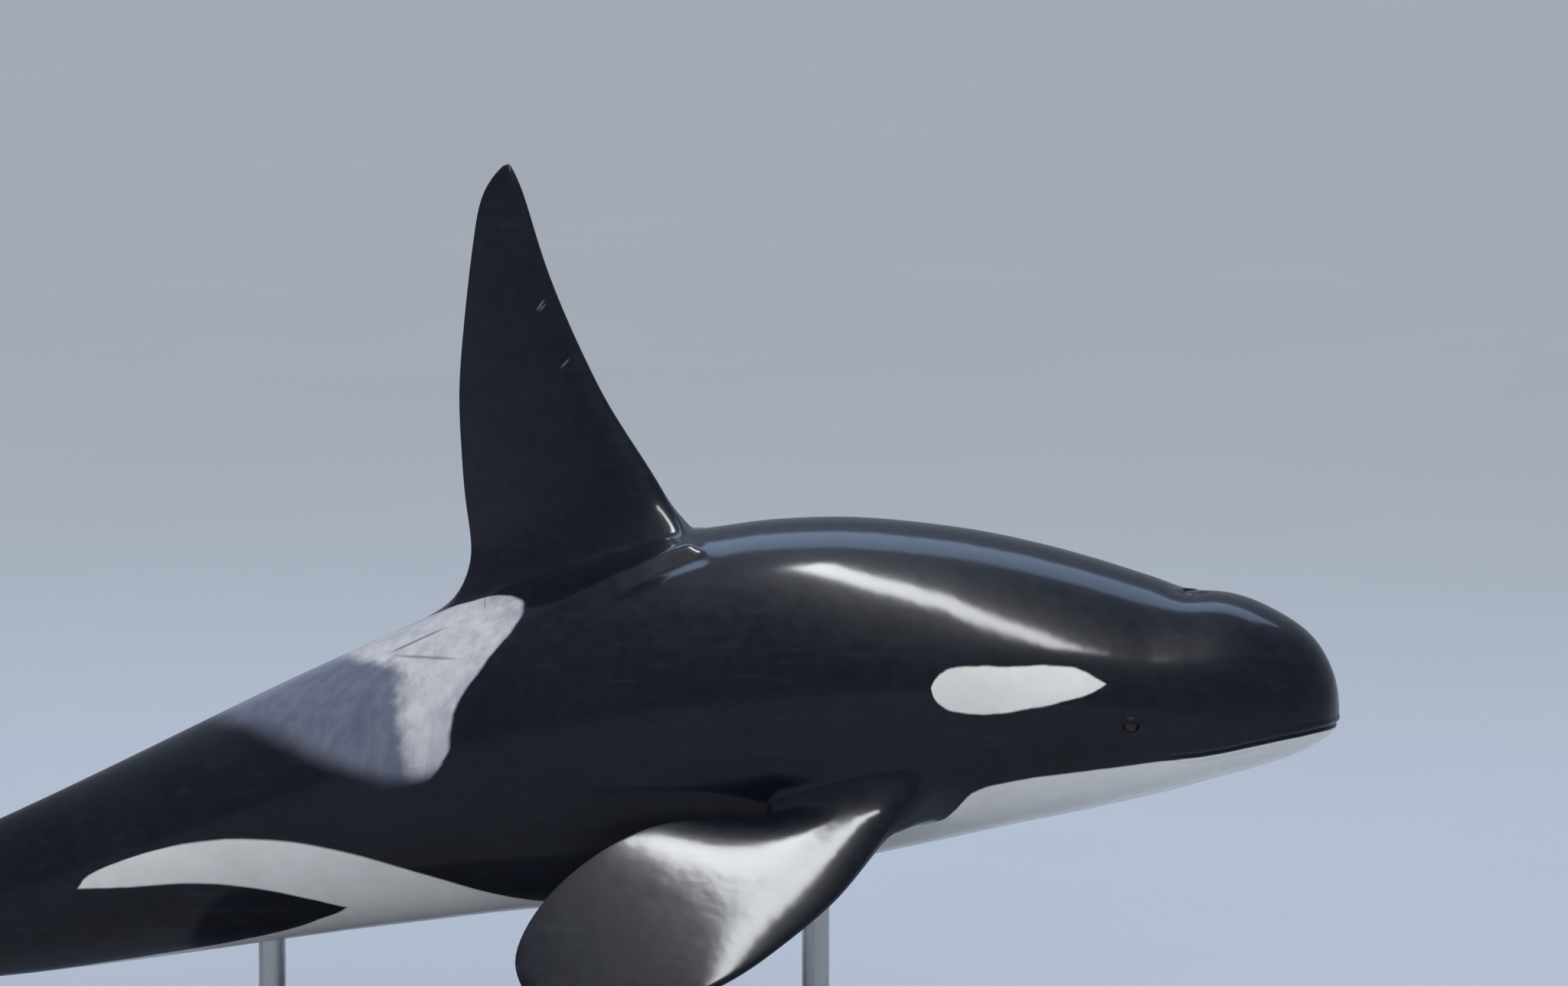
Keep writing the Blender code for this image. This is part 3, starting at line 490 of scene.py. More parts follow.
def fitted(cage):
    """The cage as a subdivided object, moved so that its smooth surface passes through the cage's points."""
    obj = mesh_object("whole", cage.points, cage.faces)
    edited(obj.data, lambda work: bmesh.ops.recalc_face_normals(work, faces=work.faces))
    subdivide = obj.modifiers.new("smooth", "SUBSURF")
    subdivide.levels = subdivide.render_levels = 1
    aim = np.array([tuple(p) for p in cage.points])
    hold = np.array(cage.hold)[:, None]
    cage_points = aim.copy()
    for _ in range(FIT_ROUNDS):
        smooth = evaluated_mesh(obj)
        cage_points += (aim - points_of(smooth)[: len(aim)]) * hold
        obj.data.vertices.foreach_set("co", cage_points.ravel())
        obj.data.update()
        bpy.data.meshes.remove(smooth)
    return obj


def mouth_height(s):
    return smooth_curve(MOUTH_LINE, s)


def step_between(low, high, value):
    """0 below low, 1 above high and smooth between, also where low is above high."""
    t = np.clip((value - low) / (high - low), 0.0, 1.0)
    return t * t * (3.0 - 2.0 * t)


def bell(value, width):
    return np.exp(-((value / width) ** 2))


def places_on_body(points):
    """For many points: distance from the snout along the spine, height above it, and side."""
    s = np.interp(-points[:, 0], -SPINE_X, SPINE_S)
    for _ in range(12):
        held = np.clip(s, 0.0, SPINE_END)
        angle = np.interp(held, SPINE_S, SPINE_ANGLE)
        x = points[:, 0] - np.interp(held, SPINE_S, SPINE_X)
        z = points[:, 2] - np.interp(held, SPINE_S, SPINE_Z)
        s = held - (x * np.cos(angle) + z * np.sin(angle))
    return s, z * np.cos(angle) - x * np.sin(angle), points[:, 1]


def turn_on_body(s, up, side):
    """How far points lie round the body from the belly, in degrees, and how far out, as a share."""
    above, below, half_width, middle, upper_power, lower_power = section_sizes(s)
    level = up - middle
    reach = np.where(level > 0, above - middle, below + middle)
    power = np.where(level > 0, upper_power, lower_power)
    tall = (np.abs(level) / reach) ** power
    wide = (np.abs(side) / half_width) ** power
    turn = 90.0 + np.sign(level) * np.degrees(np.arctan2(np.sqrt(tall), np.sqrt(wide)))
    return turn, (tall + wide) ** (1.0 / power)


def turn_at_height(s, up):
    """The turn of the body's surface at a height above the spine."""
    above, below, _, middle, upper_power, lower_power = section_sizes(s)
    level = up - middle
    reach = above - middle if level > 0 else below + middle
    power = upper_power if level > 0 else lower_power
    share = min(abs(level) / reach, 1.0) ** (power / 2.0)
    return 90.0 + math.copysign(math.degrees(math.asin(share)), level)


def from_mouth(s, up):
    """Distance of points from the line of the mouth, above it positive."""
    held = np.clip(s, 0.0, MOUTH_CORNER)
    rise = (mouth_height(held + 0.01) - mouth_height(held - 0.01)) / 0.02
    across = (up - mouth_height(held)) / np.sqrt(1.0 + rise * rise)
    beyond = np.maximum(s - MOUTH_CORNER, 0.0)
    return np.copysign(np.hypot(across, beyond), across)


def from_fold(s, turn):
    """Distance of points above the fold under the dorsal fin's root, in metres along the surface."""
    return (turn - smooth_curve(FOLD_LINE, s)) * math.radians(0.62)


def wanted_edges(points, eye_places):
    """How long the edges near each point may be, in metres."""
    s, up, side = places_on_body(points)
    turn, out = turn_on_body(s, up, side)
    size = np.full(len(points), EDGE_PLAIN)
    size[(s < 4.2) & (turn > 75.0)] = EDGE_UPPER
    size[out > 1.25] = EDGE_UPPER
    size[(out > 1.25) & (turn > 150.0)] = EDGE_FIN
    size[s < 1.30] = EDGE_HEAD
    fold = from_fold(s, turn)
    size[(s > 2.40) & (s < 3.2) & (fold > -0.12) & (fold < 0.10) & (out < 1.2)] = EDGE_FOLD
    mouth = np.abs(from_mouth(s, up))
    size[(s < 0.72) & (mouth < 0.045)] = MOUTH_EDGES[0]
    size[(s < 0.68) & (mouth < 0.020)] = MOUTH_EDGES[1]
    blow = np.hypot(s - BLOWHOLE_CENTRE, side)
    top = (turn > 120.0) & (s < 1.0)
    size[top & (blow < 0.12)] = BLOWHOLE_EDGES[0]
    size[top & (np.abs(blow - BLOWHOLE_RADIUS) < 0.020)] = BLOWHOLE_EDGES[1]
    for place in eye_places:
        away = np.linalg.norm(points - np.array(place), axis=1)
        size[away < 0.10] = np.minimum(size[away < 0.10], EYE_EDGES[0])
        size[away < 0.050] = EYE_EDGES[1]
    return size


def sides_of(quad):
    return [(quad[k], quad[(k + 1) % 4]) for k in range(4)]


class Refined:
    """A mesh of quads that can be split in four, with every new point set on the smooth surface.

    Neighbours differ by one split at most. A quad beside smaller ones is closed by a fan of triangles.
    """

    def __init__(self, mesh, on_surface):
        self.on_surface = on_surface
        self.points = [on_surface(vert.co) for vert in mesh.vertices]
        self.quads = [tuple(face.vertices) for face in mesh.polygons]
        self.middles = {}

    def middle(self, a, b):
        return self.middles.get((min(a, b), max(a, b)))

    def add_between(self, *numbers):
        total = Vector((0.0, 0.0, 0.0))
        for number in numbers:
            total += self.points[number]
        self.points.append(self.on_surface(total / len(numbers)))
        return len(self.points) - 1

    def split(self, chosen):
        """Splits the quads whose numbers are chosen."""
        kept = [quad for k, quad in enumerate(self.quads) if k not in chosen]
        for k in sorted(chosen):
            quad = self.quads[k]
            halves = []
            for a, b in sides_of(quad):
                key = (min(a, b), max(a, b))
                if key not in self.middles:
                    self.middles[key] = self.add_between(a, b)
                halves.append(self.middles[key])
            centre = self.add_between(*quad)
            kept += [(quad[j], halves[j], centre, halves[j - 1]) for j in range(4)]
        self.quads = kept

    def uneven(self):
        """The quads with a neighbour that is two splits finer."""
        found = set()
        for k, quad in enumerate(self.quads):
            for a, b in sides_of(quad):
                half = self.middle(a, b)
                if half is None:
                    continue
                if self.middle(a, half) is not None or self.middle(half, b) is not None:
                    found.add(k)
        return found

    def refine(self, wanted, rounds):
        for _ in range(rounds):
            corners = np.array([p[:] for p in self.points])[np.array(self.quads)]
            longest = np.linalg.norm(corners - np.roll(corners, 1, axis=1), axis=2).max(axis=1)
            chosen = set(np.nonzero(longest > wanted(corners.mean(axis=1)))[0])
            while chosen:
                self.split(chosen)
                chosen = self.uneven()

    def mesh(self, name):
        faces = []
        for quad in self.quads:
            outline = []
            for a, b in sides_of(quad):
                half = self.middle(a, b)
                outline += [a] if half is None else [a, half]
            if len(outline) == 4:
                faces.append(outline)
                continue
            centre = self.add_between(*quad)
            faces += [[centre, outline[k - 1], outline[k]] for k in range(len(outline))]
        mesh = bpy.data.meshes.new(name)
        mesh.from_pydata([p[:] for p in self.points], [], faces)
        mesh.update()
        return mesh


def dense_surface(obj, level):
    obj.modifiers["smooth"].levels = level
    bpy.context.view_layer.update()
    return BVHTree.FromObject(obj, bpy.context.evaluated_depsgraph_get())


def eye_place(surface, hand):
    """Where an eye sits on the skin, with the directions ahead, up and out there."""
    place, out, _, _ = surface.ray_cast(body_point(EYE[0], 1.5 * hand, EYE[1]), Vector((0.0, -hand, 0.0)))
    ahead = body_point(EYE[0] - 0.01, 0.0, 0.0) - body_point(EYE[0] + 0.01, 0.0, 0.0)
    ahead = (ahead - out * ahead.dot(out)).normalized()
    return place, ahead, (ahead.cross(out) * hand).normalized(), out


def lid_height(ahead, up):
    """How far the lids stand out of the skin, by place ahead of and above the eye's middle."""
    half_length, half_height = EYE_OPENING
    away = np.hypot(ahead, up) + 1e-9
    share = np.hypot(ahead / half_length, up / half_height) + 1e-9
    beyond = away * (1.0 - 1.0 / share)
    crest = LID_CREST + LID_LIFT * np.clip(up / half_height, -1.0, 1.0)
    outer = crest * np.exp(-((np.maximum(beyond - LID_FLAT, 0.0) / LID_SLOPE) ** 2))
    inner = outer - (crest + 0.003) * step_between(LID_FLAT, 0.0, beyond)
    hollow = -0.013 * step_between(0.001, -0.005, beyond)
    crease = -0.0022 * bell(beyond - 0.027, 0.0035) * step_between(-0.2, 0.6, up / away)
    return (inner + hollow) * step_between(0.06, 0.04, away) + crease * step_between(0.07, 0.045, away)


def formed(distance, forms):
    """The height of small forms along a line, by distance from it."""
    return sum(height * bell(distance - place, width) for height, place, width in forms)


def detail_height(points, s, up, side, turn, out, eyes):
    """How far the skin's details lift each point off the smooth surface, in metres."""
    mouth = from_mouth(s, up)
    on_head = (s < 0.9) & (out < 1.2)
    near_mouth = formed(mouth, MOUTH_FORMS) * step_between(MOUTH_CORNER + 0.03, MOUTH_CORNER - 0.09, s)
    blow = np.hypot(s - BLOWHOLE_CENTRE, side)
    heading = np.degrees(np.arctan2(np.abs(side), s - BLOWHOLE_CENTRE))
    open_part = step_between(88.0, 66.0, heading)
    blowhole = open_part * formed(blow - BLOWHOLE_RADIUS, BLOWHOLE_FORMS)
    blowhole += 0.005 * step_between(0.055, 0.02, blow)
    height = np.where(on_head, near_mouth, 0.0)
    height += np.where((s < 1.0) & (turn > 120.0), blowhole, 0.0)
    for place, ahead, above, outward in eyes:
        away = points - np.array(place)
        near = np.abs(away @ np.array(outward)) < 0.06
        lids = lid_height(away @ np.array(ahead), away @ np.array(above))
        height += np.where(near, lids, 0.0)
    fold = from_fold(s, turn)
    swell = step_between(-0.045, 0.035, fold) * np.exp(-((np.maximum(fold, 0.0) / 0.12) ** 2))
    dent = -0.30 * bell(fold + 0.060, 0.05)
    flank = (s > 2.3) & (s < 3.3) & (turn > 110.0)
    front = s - smooth_curve(FOLD_FRONT, turn)
    ridge = smooth_curve(FOLD_HEIGHT, s) * (swell + dent)
    ridge *= step_between(1.75, 1.3, out)
    ridge *= step_between(-0.025, 0.03, front)
    return height + np.where(flank, ridge, 0.0)


def keep_head(work):
    far = [face for face in work.faces if face.calc_center_median().x < SNOUT.x - HEAD_CUT]
    bmesh.ops.delete(work, geom=far, context="FACES")


def skin_object():
    """The skin as one object, with its small forms and the attributes that its markings are drawn from."""
    whole = fitted(whole_cage())
    whole.modifiers["smooth"].levels = 2
    base = evaluated_mesh(whole)
    whole_surface = dense_surface(whole, WHOLE_LEVEL)
    edited(whole.data, keep_head)
    head_surface = dense_surface(whole, HEAD_LEVEL)
    bpy.data.objects.remove(whole)
    eyes = [eye_place(head_surface, hand) for hand in (1.0, -1.0)]

    def on_surface(place):
        surface = head_surface if place.x > SNOUT.x - HEAD_USED else whole_surface
        return surface.find_nearest(place)[0]

    skin = Refined(base, on_surface)
    skin.refine(lambda places: wanted_edges(places, [eye[0] for eye in eyes]), SPLIT_ROUNDS)
    mesh = skin.mesh("orca_skin")
    points = points_of(mesh)
    s, up, side = places_on_body(points)
    turn, out = turn_on_body(s, up, side)
    normals = np.array([n.vector[:] for n in mesh.vertex_normals])
    height = detail_height(points, s, up, side, turn, out, eyes)
    mesh.vertices.foreach_set("co", (points + normals * height[:, None]).ravel())
    reach = np.clip(np.abs(side), 0.06, 1.14)
    front, rear = smooth_curve(FLUKE_LEADING, reach), smooth_curve(FLUKE_TRAILING, reach)
    attributes = {
        "along": s,
        "above": up,
        "turn": turn,
        "out": np.clip(out, 0.0, 4.0),
        "from_mouth": np.clip(from_mouth(s, up), -0.3, 0.3),
        "fluke_chord": np.clip((s - front) / (rear - front), -2.0, 2.0),
        "fluke_lift": (up - smooth_curve(FLUKE_RISE, reach)) / smooth_curve(FLUKE_HALF_THICKNESS, reach),
    }
    for name, values in attributes.items():
        add_attribute(mesh, name, values)
    mesh.shade_smooth()
    mesh.update()
    return linked("orca_skin", mesh), eyes


class Finish:
    """A material and short ways to add nodes to it."""

    def __init__(self, name):
        self.material = bpy.data.materials.new(name)
        self.material.use_nodes = True
        self.tree = self.material.node_tree
        self.tree.nodes.clear()
        self.shader = self.node("BsdfPrincipled")
        output = self.node("OutputMaterial")
        self.tree.links.new(self.shader.outputs["BSDF"], output.inputs["Surface"])

    def put(self, socket, value):
        if isinstance(value, bpy.types.NodeSocket):
            self.tree.links.new(value, socket)
        else:
            socket.default_value = value

    def node(self, kind, **inputs):
        """A new node, with some of its inputs set or linked."""
        node = self.tree.nodes.new("ShaderNode" + kind)
        for name, value in inputs.items():
            self.put(node.inputs[name], value)
        return node

    def set(self, **values):
        """Sets the shader's own sockets, named with _ for a space."""
        for name, value in values.items():
            self.put(self.shader.inputs[name.replace("_", " ")], value)

    def math(self, operation, *values):
        node = self.node("Math")
        node.operation = operation
        for socket, value in zip(node.inputs, values):
            self.put(socket, value)
        return node.outputs[0]

    def combined(self, operation, values):
        result = values[0]
        for value in values[1:]:
            result = self.math(operation, result, value)
        return result

    def product(self, *values):
        return self.combined("MULTIPLY", values)

    def either(self, *values):
        return self.combined("MAXIMUM", values)

    def blend(self, share, one, other):
        """one where share is 0 and other where it is 1."""
        return self.math("ADD", one, self.product(share, self.math("SUBTRACT", other, one)))

    def rescaled(self, value, low, high, new_low=0.0, new_high=1.0, smooth=False):
        node = self.node("MapRange")
        node.interpolation_type = "SMOOTHSTEP" if smooth else "LINEAR"
        for socket, number in zip(node.inputs, (value, low, high, new_low, new_high)):
            self.put(socket, number)
        return node.outputs[0]

    def above(self, value, edge, width):
        """0 to 1 as value goes up past the edge, over a width."""
        past = self.math("SUBTRACT", value, edge)
        return self.rescaled(past, -width / 2.0, width / 2.0, smooth=True)

    def below(self, value, edge, width):
        return self.above(edge, value, width)

    def attribute(self, name):
        node = self.node("Attribute")
        node.attribute_name = name
        return node.outputs["Fac"]

    def spot(self, along, value, low, high, edge, ends, end_edge):
        """1 where value lies between two curves along the body, and along between two ends."""
        return self.product(
            self.below(value, self.curve(along, high), edge),
            self.above(value, self.curve(along, low), edge),
            self.above(along, ends[0], end_edge),
            self.below(along, ends[1], end_edge),
        )

    def varied(self, noise, width):
        """Noise as a length on either side of nothing."""
        return self.product(self.math("SUBTRACT", noise, 0.5), width)

    def curve(self, value, points):
        """A smooth curve through (x, y) points, level beyond its ends."""
        x = [p[0] for p in points]
        y = [p[1] for p in points]
        low, high = min(y), max(y)
        node = self.node("FloatCurve")
        curve = node.mapping.curves[0]
        scaled = [((a - x[0]) / (x[-1] - x[0]), (b - low) / (high - low)) for a, b in points]
        curve.points[0].location, curve.points[1].location = scaled[0], scaled[-1]
        for place in scaled[1:-1]:
            curve.points.new(*place)
        for point in curve.points:
            point.handle_type = "AUTO_CLAMPED"
        node.mapping.update()
        self.put(node.inputs["Value"], self.rescaled(value, x[0], x[-1]))
        return self.rescaled(node.outputs[0], 0.0, 1.0, low, high)

    def place(self):
        return self.node("TexCoord").outputs["Object"]

    def stretched(self, scale, turn=(0.0, 0.0, 0.0)):
        return self.node("Mapping", Vector=self.place(), Scale=scale, Rotation=turn).outputs[0]

    def noise(self, scale, detail=2.0, roughness=0.5, vector=None):
        vector = vector or self.place()
        node = self.node("TexNoise", Vector=vector, Scale=scale, Detail=detail, Roughness=roughness)
        return node.outputs["Fac"]

    def mix(self, share, one, other):
        node = self.node("Mix")
        node.data_type = "RGBA"
        self.put(node.inputs["Factor"], share)
        for socket, colour in ((node.inputs[6], one), (node.inputs[7], other)):
            self.put(socket, colour if isinstance(colour, bpy.types.NodeSocket) else (*colour, 1.0))
        return node.outputs[2]

    def bump(self, height, distance, before=None):
        node = self.node("Bump", Height=height, Distance=distance)
        if before is not None:
            self.put(node.inputs["Normal"], before)
        return node.outputs[0]

    def streak(self, along, height, start, end, width):
        """1 on a thin straight line between two places given as (along, height), fading at its ends."""
        (x, y), (u, v) = start, end
        length = math.hypot(u - x, v - y)
        ahead = ((u - x) / length, (v - y) / length)
        a, b = self.math("SUBTRACT", along, x), self.math("SUBTRACT", height, y)
        run = self.math("ADD", self.product(a, ahead[0]), self.product(b, ahead[1]))
        off = self.math("SUBTRACT", self.product(b, ahead[0]), self.product(a, ahead[1]))
        line = self.rescaled(self.math("ABSOLUTE", off), 0.0, width, 1.0, 0.0, True)
        inside = self.product(
            self.rescaled(run, -0.01, length * 0.3, smooth=True),
            self.rescaled(run, length * 0.7, length + 0.01, 1.0, 0.0, True),
        )
        return self.product(line, inside)


# Eye patch edges, as height above the spine by distance from the snout
PATCH_TOP = (
    (0.887, 0.103), (0.928, 0.122), (0.981, 0.144), (1.045, 0.157), (1.116, 0.156), (1.203, 0.146),
    (1.304, 0.137), (1.391, 0.134), (1.472, 0.127), (1.515, 0.11), (1.543, 0.083), (1.559, 0.043),
)
PATCH_BOTTOM = (
    (0.887, 0.103), (0.941, 0.067), (1.0, 0.038), (1.1, 0.004), (1.2, -0.024), (1.3, -0.044),
    (1.4, -0.052), (1.47, -0.046), (1.515, -0.026), (1.545, 0.004), (1.559, 0.043),
)
PATCH_ENDS = (0.887, 1.559)

# The saddle's edges, as distance from the snout by turn round the body: its front, the rear of its bright
# part and the rear of its grey part. Its low end is a turn.
SADDLE_LOW_END = 88.0
SADDLE_FRONT = (
    (85.0, 3.66), (88.0, 3.58), (92.0, 3.53), (97.0, 3.502), (101.4, 3.49), (105.9, 3.474),
    (112.9, 3.446), (118.4, 3.399), (125.0, 3.332), (131.7, 3.262), (140.3, 3.169), (146.6, 3.138),
    (150.7, 3.138), (156.7, 3.164), (162.8, 3.225), (165.8, 3.275), (168.6, 3.39), (172.0, 3.5),
    (180.0, 3.56),
)
SADDLE_MIDDLE = (
    (85.0, 3.7), (95.0, 3.68), (109.4, 3.672), (117.6, 3.666), (124.7, 3.66), (133.8, 3.645),
    (140.3, 3.652), (147.0, 3.7), (154.5, 3.775), (164.9, 3.85), (180.0, 3.93),
)
SADDLE_REAR = (
    (85.0, 3.76), (92.0, 3.83), (104.0, 3.96), (120.0, 4.1), (140.0, 4.25), (160.0, 4.4), (180.0, 4.46),
)

# White under the body, by distance from the snout. The jaw's edge is a height above the spine. The edges of
# the middle band, and of the lobes that rise on the flanks, are turns from the belly, in degrees.
WHITE_JAW = (
    (0.0, -0.034), (0.15, -0.062), (0.3, -0.104), (0.45, -0.15), (0.56, -0.178), (0.66, -0.2),
    (0.8, -0.232), (1.0, -0.275), (1.2, -0.32), (1.38, -0.385),
)
WHITE_BAND = (
    (1.55, 39.0), (1.8, 37.0), (2.1, 34.5), (2.4, 29.0), (2.7, 23.0), (3.0, 20.0), (3.25, 21.0),
    (3.55, 29.0), (3.8, 38.0), (4.05, 42.0), (4.25, 36.0), (4.5, 27.0), (4.8, 21.0), (5.1, 17.5),
    (5.4, 13.0), (5.58, 7.0), (5.66, -2.0),
)
LOBE_HIGH = (
    (3.3, 20.0), (3.55, 35.0), (3.8, 52.0), (4.1, 69.0), (4.4, 81.0), (4.7, 89.0), (4.95, 92.0),
    (5.12, 90.0), (5.2, 83.0),
)
LOBE_LOW = (
    (3.3, 20.0), (3.9, 30.0), (4.15, 38.0), (4.3, 48.0), (4.5, 60.0), (4.75, 70.0), (5.0, 76.0),
    (5.2, 83.0),
)
LOBE_ENDS = (3.32, 5.20)

# Where the white of the jaw goes over from the mouth's line to its own edge, by distance from the snout
JAW_BLEND = (0.50, 0.60)

# Marks on the fin and on the saddle: both ends as (distance from the snout, height above the spine), width,
# and for the saddle's how strong they are
FIN_SCARS = (
    ((2.904, 1.593), (2.881, 1.622), 0.006),
    ((2.896, 1.588), (2.880, 1.604), 0.004),
    ((2.863, 1.350), (2.840, 1.372), 0.005),
)
SADDLE_RAKES = (
    ((3.715, 0.417), (3.430, 0.457), 0.007, 0.80),
    ((3.690, 0.416), (3.380, 0.334), 0.009, 0.60),
    ((3.297, 0.526), (3.294, 0.484), 0.006, 0.70),
)

# Colours of the skin and of the eyes
BLACK_SKIN = (0.0032, 0.0040, 0.0076)
BLUE_SKIN = (0.0068, 0.0082, 0.0160)
WORN_SKIN = (0.0185, 0.0205, 0.0310)
SCAR_SKIN = (0.16, 0.17, 0.20)
WHITE_SKIN = (0.790, 0.780, 0.755)
CREAM_SKIN = (0.74, 0.725, 0.68)
SHADED_WHITE = (0.60, 0.585, 0.56)
SADDLE_PALE = (0.590, 0.572, 0.585)
SADDLE_SHADE = (0.440, 0.430, 0.460)
# Painted reflection of a pale blue sky, laid over the saddle's front and along the back above its grey part
PAINTED_SKY_SHEEN = (0.300, 0.320, 0.420)
SADDLE_GREY = (0.105, 0.115, 0.165)
SADDLE_DULL = (0.150, 0.160, 0.215)
RAKE_SKIN = (0.10, 0.10, 0.13)
PUPIL = (0.002, 0.002, 0.003)
IRIS_DARK, IRIS_LIGHT = (0.012, 0.007, 0.005), (0.024, 0.015, 0.010)
EYE_WHITE_DARK, EYE_WHITE_LIGHT = (0.035, 0.022, 0.022), (0.07, 0.05, 0.047)


def skin_finish():
    """Wet skin, black over blue-black, with the white and grey markings of the species, and a painted blue
    sky reflection on the saddle's front and along the back above its grey part.
    """
    f = Finish("orca_skin")
    wander = f.noise(9.0, 3.0, 0.55)
    fray = f.varied(wander, 0.016)
    along = f.math("ADD", f.attribute("along"), fray)
    height = f.math("ADD", f.attribute("above"), fray)
    turn = f.math("ADD", f.attribute("turn"), f.product(fray, 70.0))
    out = f.attribute("out")
    trunk = f.below(out, 1.14, 0.08)

    patch = f.spot(along, height, PATCH_BOTTOM, PATCH_TOP, 0.012, PATCH_ENDS, 0.004)
    front = f.above(along, f.curve(turn, SADDLE_FRONT), 0.024)
    low_end = f.above(turn, SADDLE_LOW_END, 6.0)
    ragged = f.math("ADD", along, f.varied(f.noise(16.0, 4.0, 0.6), 0.10))
    bright = f.product(front, f.below(ragged, f.curve(turn, SADDLE_MIDDLE), 0.10), low_end)
    grey = f.product(front, f.below(along, f.curve(turn, SADDLE_REAR), 0.20), low_end)
    on_back = f.below(out, 1.10, 0.05)

    jaw_edge = tuple((s, turn_at_height(s, up)) for s, up in WHITE_JAW)
    band = f.below(turn, f.curve(along, jaw_edge + WHITE_BAND), 1.3)
    jaw = f.below(f.attribute("from_mouth"), -0.010, 0.005)
    band = f.blend(f.rescaled(along, *JAW_BLEND, smooth=True), jaw, band)
    lobes = f.spot(along, turn, LOBE_LOW, LOBE_HIGH, 1.6, LOBE_ENDS, 0.02)
    belly = f.product(f.either(band, lobes), trunk)
    chord = f.attribute("fluke_chord")
    fluke = f.product(
        f.below(f.attribute("fluke_lift"), -0.12, 0.10),
        f.above(chord, f.rescaled(wander, 0.0, 1.0, 0.08, 0.20), 0.05),
        f.below(chord, f.rescaled(wander, 0.0, 1.0, 0.94, 0.74), 0.05),
        f.above(out, 2.2, 0.5),
        f.above(along, 6.4, 0.05),
    )
    white = f.either(patch, belly, fluke)

    clouds = f.noise(2.2, 4.0, 0.55)
    mottle = f.noise(16.0, 4.0, 0.6)
    dark = f.mix(f.rescaled(f.product(clouds, mottle), 0.12, 0.42), BLACK_SKIN, BLUE_SKIN)
    rubs = f.noise(5.0, 5.0, 0.62, f.stretched((0.7, 2.2, 5.0), (0.0, 0.5, 0.0)))
    rubbed = f.rescaled(rubs, 0.56, 0.74, 0.0, 0.45, True)
    on_fin = f.product(f.above(out, 1.25, 0.5), f.above(turn, 150.0, 20.0))
    toward_rear = f.product(on_fin, f.rescaled(along, 2.75, 3.45, 0.0, 0.75, True))
    worn_rear = f.product(toward_rear, f.rescaled(mottle, 0.3, 0.7, 0.5, 1.0))
    dark = f.mix(f.either(rubbed, worn_rear), dark, WORN_SKIN)
    for start, end, width in FIN_SCARS:
        scar = f.streak(f.attribute("along"), f.attribute("above"), start, end, width)
        dark = f.mix(f.product(scar, 0.8), dark, SCAR_SKIN)

    strokes = f.noise(14.0, 5.0, 0.65, f.stretched((1.0, 1.0, 0.22), (0.0, 0.72, 0.0)))
    pale = f.mix(f.rescaled(strokes, 0.38, 0.62), SADDLE_SHADE, SADDLE_PALE)
    # Painted blue sky sheen over the front of the bright saddle, broken up by its strokes
    sheen_at_saddle_front = f.below(along, f.math("ADD", f.curve(turn, SADDLE_FRONT), 0.07), 0.12)
    pale = f.mix(f.product(sheen_at_saddle_front, f.rescaled(strokes, 0.30, 0.60, 0.75, 0.15)), pale, PAINTED_SKY_SHEEN)
    dull = f.mix(f.rescaled(strokes, 0.35, 0.65), SADDLE_GREY, SADDLE_DULL)
    # Painted blue sky reflection along the top of the back, over the grey part
    dull = f.mix(f.rescaled(turn, 160.0, 178.0, 0.0, 0.5, True), dull, PAINTED_SKY_SHEEN)
    for start, end, width, depth in SADDLE_RAKES:
        rake = f.streak(along, f.attribute("above"), start, end, width)
        pale = f.mix(f.product(rake, depth), pale, RAKE_SKIN)

    cream = f.mix(f.rescaled(mottle, 0.3, 0.7), WHITE_SKIN, CREAM_SKIN)
    cream = f.mix(f.rescaled(clouds, 0.45, 0.7, 0.0, 0.5), cream, SHADED_WHITE)

    colour = f.mix(f.product(grey, on_back), dark, dull)
    colour = f.mix(f.product(bright, on_back), colour, pale)
    colour = f.mix(white, colour, cream)

    pores = f.noise(240.0, 3.0, 0.6)
    ripple = f.noise(26.0, 3.0, 0.5)
    swell = f.noise(7.0, 2.0, 0.5)
    relief = f.bump(swell, 0.0016)
    relief = f.bump(ripple, 0.0004, relief)
    relief = f.bump(pores, 0.00014, relief)
    f.set(
        Base_Color=colour,
        Roughness=f.rescaled(mottle, 0.3, 0.7, 0.34, 0.48),
        IOR=1.36,
        Specular_IOR_Level=0.15,
        Coat_Weight=0.75,
        Coat_Roughness=0.13,
        Coat_IOR=1.33,
        Normal=relief,
        Coat_Normal=f.bump(ripple, 0.00015, f.bump(swell, 0.0009)),
    )
    return f.material


def eye_finish():
    """A dark brown eye with a black pupil, wet."""
    f = Finish("orca_eye")
    radial = f.attribute("from_pupil")
    fibres = f.noise(260.0, 3.0)
    ring = f.rescaled(radial, 0.26, 0.31, smooth=True)
    brown = f.mix(fibres, IRIS_DARK, IRIS_LIGHT)
    rim = f.rescaled(radial, 0.56, 0.66, smooth=True)
    white_of_eye = f.mix(f.noise(90.0, 3.0), EYE_WHITE_DARK, EYE_WHITE_LIGHT)
    colour = f.mix(ring, PUPIL, brown)
    colour = f.mix(rim, colour, white_of_eye)
    f.set(Base_Color=colour, Roughness=0.16, IOR=1.38, Coat_Weight=0.5, Coat_Roughness=0.03, Coat_IOR=1.34)
    return f.material


def eye_ball(name, place, ahead, up, out):
    """The ball of an eye, a little fuller at its clear front."""
    mesh = bpy.data.meshes.new(name)
    edited(mesh, lambda work: bmesh.ops.create_icosphere(work, subdivisions=5, radius=1.0))
    shape = points_of(mesh)
    centre = np.array(place - out * EYE_DEPTH)
    axis = np.array(out)
    forward = shape @ axis
    away = np.sqrt(np.clip(1.0 - forward**2, 0.0, 1.0))
    bulge = EYE_BULGE * step_between(0.62, 0.40, away) * (forward > 0)
    mesh.vertices.foreach_set("co", (centre + shape * (EYE_RADIUS + bulge)[:, None]).ravel())
    radial = np.where(forward > 0, away, 2.0)
    add_attribute(mesh, "from_pupil", radial)
    mesh.shade_smooth()
    mesh.update()
    return linked(name, mesh)


